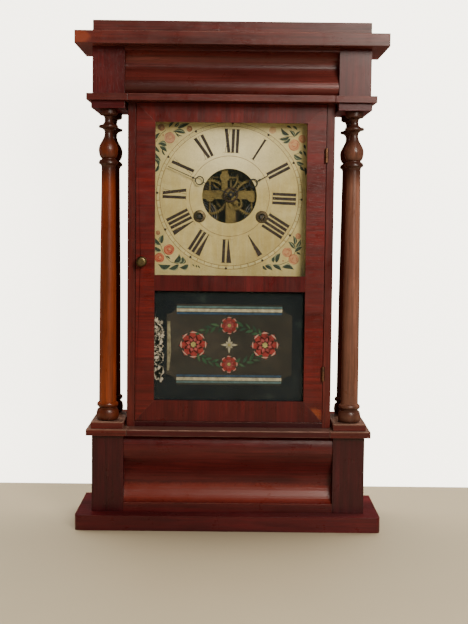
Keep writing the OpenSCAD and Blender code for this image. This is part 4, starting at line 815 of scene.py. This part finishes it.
def paint_corners():
    rng = random.Random(CORNER_SEED)
    leaves = [on_plate(spray_leaf(*row)) for row in CORNER_LEAVES]
    stems = []
    for way in CORNER_STEMS:
        stems += [on_plate(stroke(a, b, 0.8, 0.6)) for a, b in zip(way, way[1:])]
    lay_on_dial("dial_stems", stems, paint("flower_stem", FLOWER_STEM, 1, 0.4, 0.5, rub=0.1), 0.6)
    lay_on_dial("dial_leaves", leaves, paint("flower_leaf", FLOWER_LEAF, 2, 0.6, 0.5, rub=0.04), 0.9)
    veins = [spray_leaf(x0, z0, x1, z1, width * 0.22, bend * 1.9 + 0.06)
             for x0, z0, x1, z1, width, bend in CORNER_LEAVES if width > VEINED_FROM]
    pale_green = paint("leaf_light", LEAF_LIGHT, 3, 0.3, 0.5, rub=0.1)
    lay_on_dial("dial_leaf_lights", [on_plate(shape) for shape in veins], pale_green, 1.1)
    hearts = []
    for seed, (tint, colour) in enumerate(BLOSSOM.items()):
        bodies, rings = [], []
        for x, z, radius, own_tint in BLOSSOMS:
            if own_tint == tint:
                body, strokes, heart = rose(x, z, radius, rng.uniform(0, 6.28))
                bodies.append(on_plate(body))
                rings += [on_plate(shape) for shape in strokes]
                hearts.append(on_plate(heart))
        petal = paint("petal_" + tint, colour, seed + 3, 0.22, 0.5, rub=0.1)
        edge = paint("shade_" + tint, BLOSSOM_EDGE[tint], seed + 6, 0.3, 0.5, rub=0.06)
        lay_on_dial("dial_blossoms_" + tint, bodies, petal, 1.3)
        lay_on_dial("dial_petals_" + tint, rings, edge, 1.6)
    lay_on_dial("dial_hearts", hearts, paint("petal_light", BLOSSOM_HEART, 9, 0.2, 0.5), 1.9)


# ---------------------------------------------------------------- tablet painting
# A plain garland of leaves and small rosettes, in the tablet's old colours. It is painted on
# the back of the glass, so the details lie nearest to the pane and the ground behind them.

LAYER_STEP = 0.0001
TABLET_SEED = 19
# Sizes in millimetres
TABLET_REACH = 98.0
BORDER_INSET = 3.2
GROUND_HALF = (80.5, 52.0)
GROUND_CUT = 13.0
GARLAND = (46.0, 25.0)
GARLAND_LEAVES = 56
LEAF_LEAN = 0.6
# Rosettes: direction in degrees, radius
ROSETTES = [(0, 18.5), (180, 18.5), (90, 12.0), (270, 12.0)]
STAR_REACH = (11.0, 6.0)
STAR_W = 3.2
FLAKES = 84
# Pale strip at the ground's left edge: paint worn through, painted pale as light showing through the
# bare glass
WORN_LIT_STRIP = [(-79.5, -34.0), (-77.0, -34.0), (-74.5, -10.0), (-76.0, 30.0), (-79.5, 30.0)]
PICTURE_LIFT = 1.0
STRIPES = [("blue", 39.0, 41.6, (0.018, 0.05, 0.10)), ("cream", 42.4, 46.2, (0.42, 0.38, 0.25)),
           ("teal", 47.0, 49.6, (0.07, 0.13, 0.13))]
STRIPE_UNDER = (0.05, 0.05, 0.05)
TABLET_YELLOW = (0.36, 0.30, 0.10)
TABLET_PINK = (0.46, 0.25, 0.19)
TABLET_UNDER_PINK = (0.2, 0.05, 0.04)
TABLET_ROSE = (0.34, 0.06, 0.055)
TABLET_RED = (0.25, 0.022, 0.018)
TABLET_CREAM = (0.40, 0.36, 0.24)
TABLET_VEIN = (0.10, 0.14, 0.06)
TABLET_GREEN = (0.022, 0.070, 0.030)
TABLET_DARK_GREEN = (0.014, 0.040, 0.022)
TABLET_BARE = (0.50, 0.44, 0.33)
TABLET_WORN_LIT = (0.22, 0.19, 0.11)
TABLET_UNDER_WORN = (0.05, 0.045, 0.03)
TABLET_DARK = (0.006, 0.008, 0.012)
TABLET_DARK_HIGH = (0.020, 0.028, 0.026)
TABLET_GROUND = (0.036, 0.030, 0.024)
TABLET_GROUND_HIGH = (0.062, 0.050, 0.036)
TABLET_MIDDLE_Z = (SIGHT_LOW_Z + SIGHT_HIGH_Z) / 2 / MM + PICTURE_LIFT


def on_tablet(outline_mm):
    return [((TABLET_X + x * MM), (TABLET_MIDDLE_Z + z) * MM) for x, z in outline_mm]


def ground_outline():
    """Rectangle with quarter-round notches in its corners."""
    half_x, half_z = GROUND_HALF
    points = []
    for sx, sz, start in ((1, 1, 1.0), (-1, 1, 1.5), (-1, -1, 0.0), (1, -1, 0.5)):
        centre = (sx * half_x, sz * half_z)
        arc = []
        for i in range(9):
            a = math.pi * (start + 0.5 * i / 8)
            arc.append((centre[0] + GROUND_CUT * math.cos(a), centre[1] + GROUND_CUT * math.sin(a)))
        points += list(reversed(arc))
    return points


def rosette(x, z, radius, turn):
    """Outlines of one rosette: outer petals, rim strokes, inner petals, heart."""
    outer, rims, inner = [], [], []
    for k in range(8):
        a = turn + k * math.pi / 4
        petal = turned(leaf(radius, radius * 0.62, 0.08), a)
        outer.append(shifted(petal, x, z))
        rim = arc_stroke(radius * 0.86, radius * 0.09, a - 0.3, a + 0.3)
        rims.append(shifted(rim, x, z))
        small = turned(leaf(radius * 0.55, radius * 0.3, 0.1), a + 0.39)
        inner.append(shifted(small, x, z))
    heart = shifted(blob(radius * 0.2, 6, 0.2, turn), x, z)
    return outer, rims, inner, heart


def on_garland(angle):
    """Place on the garland's oval."""
    return GARLAND[0] * math.cos(angle), GARLAND[1] * math.sin(angle)


def garland_rosettes():
    """Petals, rims, inner petals and hearts of the garland's rosettes."""
    petals, rims, inners, hearts = [], [], [], []
    for degrees, radius in ROSETTES:
        a = math.radians(degrees)
        outer, rim, inner, heart = rosette(*on_garland(a), radius, a)
        petals += outer
        rims += rim
        inners += inner
        hearts.append(heart)
    return petals, rims, inners, hearts


def garland_leaves(rng):
    """Green leaves, darker leaves and pale veins along the garland."""
    leaves, dark_leaves, veins = [], [], []
    for k in range(GARLAND_LEAVES):
        a = 2 * math.pi * (k + 0.5) / GARLAND_LEAVES
        heading = math.atan2(GARLAND[1] * math.cos(a), -GARLAND[0] * math.sin(a))
        lean = heading + (LEAF_LEAN if k % 2 else -LEAF_LEAN) + rng.uniform(-0.15, 0.15)
        size = rng.uniform(9.0, 12.0)
        shape = shifted(turned(leaf(size, size * 0.34, 0.15), lean), *on_garland(a))
        (leaves if k % 3 else dark_leaves).append(shape)
        if k % 4 == 0:
            vein = turned(leaf(size * 0.8, size * 0.07, 0.15), lean)
            veins.append(shifted(vein, *on_garland(a)))
    return leaves, dark_leaves, veins


def star_points():
    """Eight points, long and short by turns."""
    return [turned(leaf(STAR_REACH[k % 2], STAR_W, 0.0), k * math.pi / 4) for k in range(8)]


def paint_flakes(rng):
    """Bare patches where the paint has flaked off at the left edge."""
    flakes = []
    for _ in range(FLAKES):
        z = rng.uniform(-48.0, 30.0)
        x = -rng.uniform(86.0, 96.0)
        size = rng.uniform(1.4, 4.2)
        flake = blob(size, rng.choice((3, 5, 7)), rng.uniform(0.3, 0.6),
                     rng.uniform(0, 6.2), rng.uniform(0.5, 1.6), 18)
        flakes.append(shifted(flake, x, z))
    return flakes


def box_outline(half_x, low_z, high_z):
    return [(-half_x, low_z), (half_x, low_z), (half_x, high_z), (-half_x, high_z)]


def paint_tablet():
    rng = random.Random(TABLET_SEED)
    level = iter(range(1, 30))

    def lay(name, shapes, material):
        y = TABLET_BACK_Y + next(level) * LAYER_STEP
        flat_shapes(name, [on_tablet(s) for s in shapes], y + LAYER_STEP * 0.8, y, material, "door")

    petals, rims, inners, hearts = garland_rosettes()
    leaves, dark_leaves, veins = garland_leaves(rng)
    hearts.append(blob(1.9, 4, 0.1))
    lay("tablet_hearts", hearts, paint("tablet_yellow", TABLET_YELLOW, 1, 0.3, 0.4))
    lay("tablet_rims", rims, paint("tablet_pink", TABLET_PINK, 2, 0.3, 0.4, 0.1, TABLET_UNDER_PINK))
    lay("tablet_inner_petals", inners, paint("tablet_rose", TABLET_ROSE, 3, 0.35, 0.4))
    lay("tablet_petals", petals, paint("tablet_red", TABLET_RED, 4, 0.4, 0.4))
    lay("tablet_star", star_points(), paint("tablet_cream", TABLET_CREAM, 5, 0.35, 0.4))
    lay("tablet_veins", veins, paint("tablet_vein", TABLET_VEIN, 6, 0.4, 0.4))
    lay("tablet_leaves", leaves, paint("tablet_green", TABLET_GREEN, 7, 0.5, 0.4))
    lay("tablet_dark_leaves", dark_leaves, paint("tablet_dark_green", TABLET_DARK_GREEN, 8, 0.5, 0.4))
    reach_x = GROUND_HALF[0] - GROUND_CUT
    for tint, low, high, colour in STRIPES:
        bars = [box_outline(reach_x, s * low, s * high) for s in (-1, 1)]
        finish = paint("tablet_" + tint + "_stripe", colour, 9, 0.4, 0.4, 0.06, STRIPE_UNDER)
        lay("tablet_stripe_" + tint, bars, finish)
    lay("tablet_flakes", paint_flakes(rng), paint("tablet_bare", TABLET_BARE, 12, 0.4, 0.6))
    # Pale strip: partly worn paint, partly painted light
    worn_lit_cream = paint("tablet_strip_lit_cream", TABLET_WORN_LIT, 14, 0.5, 0.6, 0.15, TABLET_UNDER_WORN)
    lay("tablet_strip", [WORN_LIT_STRIP], worn_lit_cream)
    lay("tablet_ground", [ground_outline()], tablet_ground())
    edge_z = (tablet_high.z - tablet_low.z) / 2 / MM - BORDER_INSET
    border = box_outline(TABLET_REACH, -edge_z - PICTURE_LIFT, edge_z - PICTURE_LIFT)
    lay("tablet_border", [border], tablet_border())


def tablet_ground():
    """The picture's brown ground, darker to the right."""
    g = Graph("tablet_ground")
    clouds = g.noise(g.mapped((26.0, 26.0, 26.0)), 1.0, 5.0, 0.6)
    streaks = g.noise(g.mapped((30.0, 60.0, 420.0)), 1.0, 4.0, 0.3)
    base = g.ramp(clouds, [
        (0.3, scaled(TABLET_GROUND, 0.65)), (0.5, TABLET_GROUND), (0.72, TABLET_GROUND_HIGH)])
    worn = g.mix(g.span(streaks, 0.5, 0.75, 0.0, 0.4), base, (0.022, 0.020, 0.021))
    to_right = g.span(g.part(g.coords, "X"), -0.02, 0.08, 0.0, 0.45)
    shaded = g.mix(to_right, worn, scaled(TABLET_GROUND, 0.35))
    return g.finish(shaded, g.span(clouds, 0.3, 0.7, 0.5, 0.7), Specular_IOR_Level=0.05)


def tablet_border():
    """Near-black border, rubbed in spots."""
    g = Graph("tablet_border")
    clouds = g.noise(g.mapped((40.0, 40.0, 40.0)), 1.0, 5.0, 0.7)
    scraps = g.noise(g.mapped((230.0, 230.0, 420.0)), 1.0, 4.0, 1.2)
    base = g.ramp(clouds, [
        (0.35, scaled(TABLET_DARK, 0.6)), (0.6, TABLET_DARK), (0.75, TABLET_DARK_HIGH)])
    rubbed = g.mix(g.span(scraps, 0.62, 0.72, 0.0, 0.5), base, (0.045, 0.036, 0.030))
    return g.finish(rubbed, g.span(clouds, 0.3, 0.7, 0.5, 0.7), Specular_IOR_Level=0.05)


# ---------------------------------------------------------------- floor, light and camera

WALL_GAP = 0.14
STAGE_REACH = 4.0
FLOOR_COLOUR = (0.30, 0.25, 0.17)
WALL_COLOUR = (0.85, 0.84, 0.79)
WALL_GLOW = (1.0, 0.955, 0.84, 1.0)
WALL_GLOW_STRENGTH = 4.2


def pale(name, colour, roughness):
    g = Graph(name)
    mottle = g.noise(g.mapped((5.0, 5.0, 5.0)), 1.0, 4.0)
    return g.finish(g.mix(g.span(mottle, 0.3, 0.7), scaled(colour, 0.96), colour), roughness)


def clear_from_behind(material):
    """Lets a view from behind pass through the wall, so that the clock's back can be seen."""
    tree = material.node_tree
    side = tree.nodes.new("ShaderNodeNewGeometry").outputs["Backfacing"]
    clear = tree.nodes.new("ShaderNodeBsdfTransparent").outputs["BSDF"]
    blend = tree.nodes.new("ShaderNodeMixShader")
    tree.links.new(side, blend.inputs["Fac"])
    tree.links.new(tree.nodes["Principled BSDF"].outputs["BSDF"], blend.inputs[1])
    tree.links.new(clear, blend.inputs[2])
    tree.links.new(blend.outputs["Shader"], tree.nodes["Material Output"].inputs["Surface"])


def quad(name, corners, material):
    bm = bmesh.new()
    bm.faces.new([bm.verts.new(c) for c in corners])
    mesh = bpy.data.meshes.new(name)
    bm.to_mesh(mesh)
    bm.free()
    mesh.materials.append(material)
    obj = bpy.data.objects.new(name, mesh)
    bpy.context.scene.collection.objects.link(obj)
    return obj


def build_stage():
    y = cad_box[1][1] + WALL_GAP
    r = STAGE_REACH
    floor = pale("floor_pale", FLOOR_COLOUR, 0.6)
    wall = pale("wall_pale", WALL_COLOUR, 0.8)
    glow = wall.node_tree.nodes["Principled BSDF"]
    glow.inputs["Emission Color"].default_value = WALL_GLOW
    glow.inputs["Emission Strength"].default_value = WALL_GLOW_STRENGTH
    clear_from_behind(wall)
    quad("floor", [(-r, -r, 0), (r, -r, 0), (r, r, 0), (-r, r, 0)], floor)
    backdrop = quad("backdrop", [(-r, y, 0), (r, y, 0), (r, y, r), (-r, y, r)], wall)
    backdrop.visible_glossy = False


LIGHT_AIM = (0.0, 0.0, 0.36)
KEY_COLOUR = (1.0, 0.93, 0.82)
KEY_SIZE = (0.55, 0.55)
FILL_COLOUR = (1.0, 0.94, 0.86)
WORLD_COLOUR = (1.0, 0.96, 0.9, 1.0)
WORLD_STRENGTH = 0.08


def area_light(name, place_at, size, power, colour):
    light = bpy.data.lights.new(name, "AREA")
    light.shape = "RECTANGLE"
    light.size, light.size_y = size
    light.energy = power
    light.color = colour
    obj = bpy.data.objects.new(name, light)
    obj.location = place_at
    way = Vector(LIGHT_AIM) - Vector(place_at)
    obj.rotation_euler = way.to_track_quat("-Z", "Y").to_euler()
    bpy.context.scene.collection.objects.link(obj)
    return obj


def build_light():
    area_light("key_low", (0.64, -1.50, 1.02), KEY_SIZE, 33.0, KEY_COLOUR)
    area_light("key_high", (0.50, -1.25, 1.60), KEY_SIZE, 10.0, KEY_COLOUR)
    fill = area_light("fill", (-1.7, -2.0, 0.9), (1.8, 1.4), 9.0, FILL_COLOUR)
    fill.visible_glossy = False
    world = bpy.data.worlds.new("studio")
    world.use_nodes = True
    background = world.node_tree.nodes["Background"]
    background.inputs["Color"].default_value = WORLD_COLOUR
    background.inputs["Strength"].default_value = WORLD_STRENGTH
    bpy.context.scene.world = world


# Camera of the photograph, in its 468 by 624 frame
PHOTO_H = 624
FOCAL_PX = 1197.3
SENSOR_H = 24.0
CAMERA_AT = (0.00065, -1.5405, 0.3921)
PITCH = math.radians(4.46)
YAW = math.radians(0.19)
ROLL = math.radians(0.64)


def build_camera():
    ahead = math.cos(PITCH)
    forward = Vector((math.sin(YAW) * ahead, math.cos(YAW) * ahead, -math.sin(PITCH)))
    level = Vector((math.cos(YAW), -math.sin(YAW), 0.0))
    upright = level.cross(forward)
    right = level * math.cos(ROLL) + upright * math.sin(ROLL)
    up = upright * math.cos(ROLL) - level * math.sin(ROLL)
    camera = bpy.data.cameras.new("camera")
    camera.sensor_fit = "VERTICAL"
    camera.sensor_height = SENSOR_H
    camera.lens = SENSOR_H * FOCAL_PX / PHOTO_H
    obj = bpy.data.objects.new("camera", camera)
    turn = Matrix((right, up, -forward)).transposed().to_4x4()
    obj.matrix_world = Matrix.Translation(CAMERA_AT) @ turn
    bpy.context.scene.collection.objects.link(obj)
    bpy.context.scene.camera = obj


build_camera()
dress_woods()
dress_metals()
dress_panes()
paint_numerals()
paint_tracks()
paint_corners()
paint_tablet()
build_stage()
build_light()
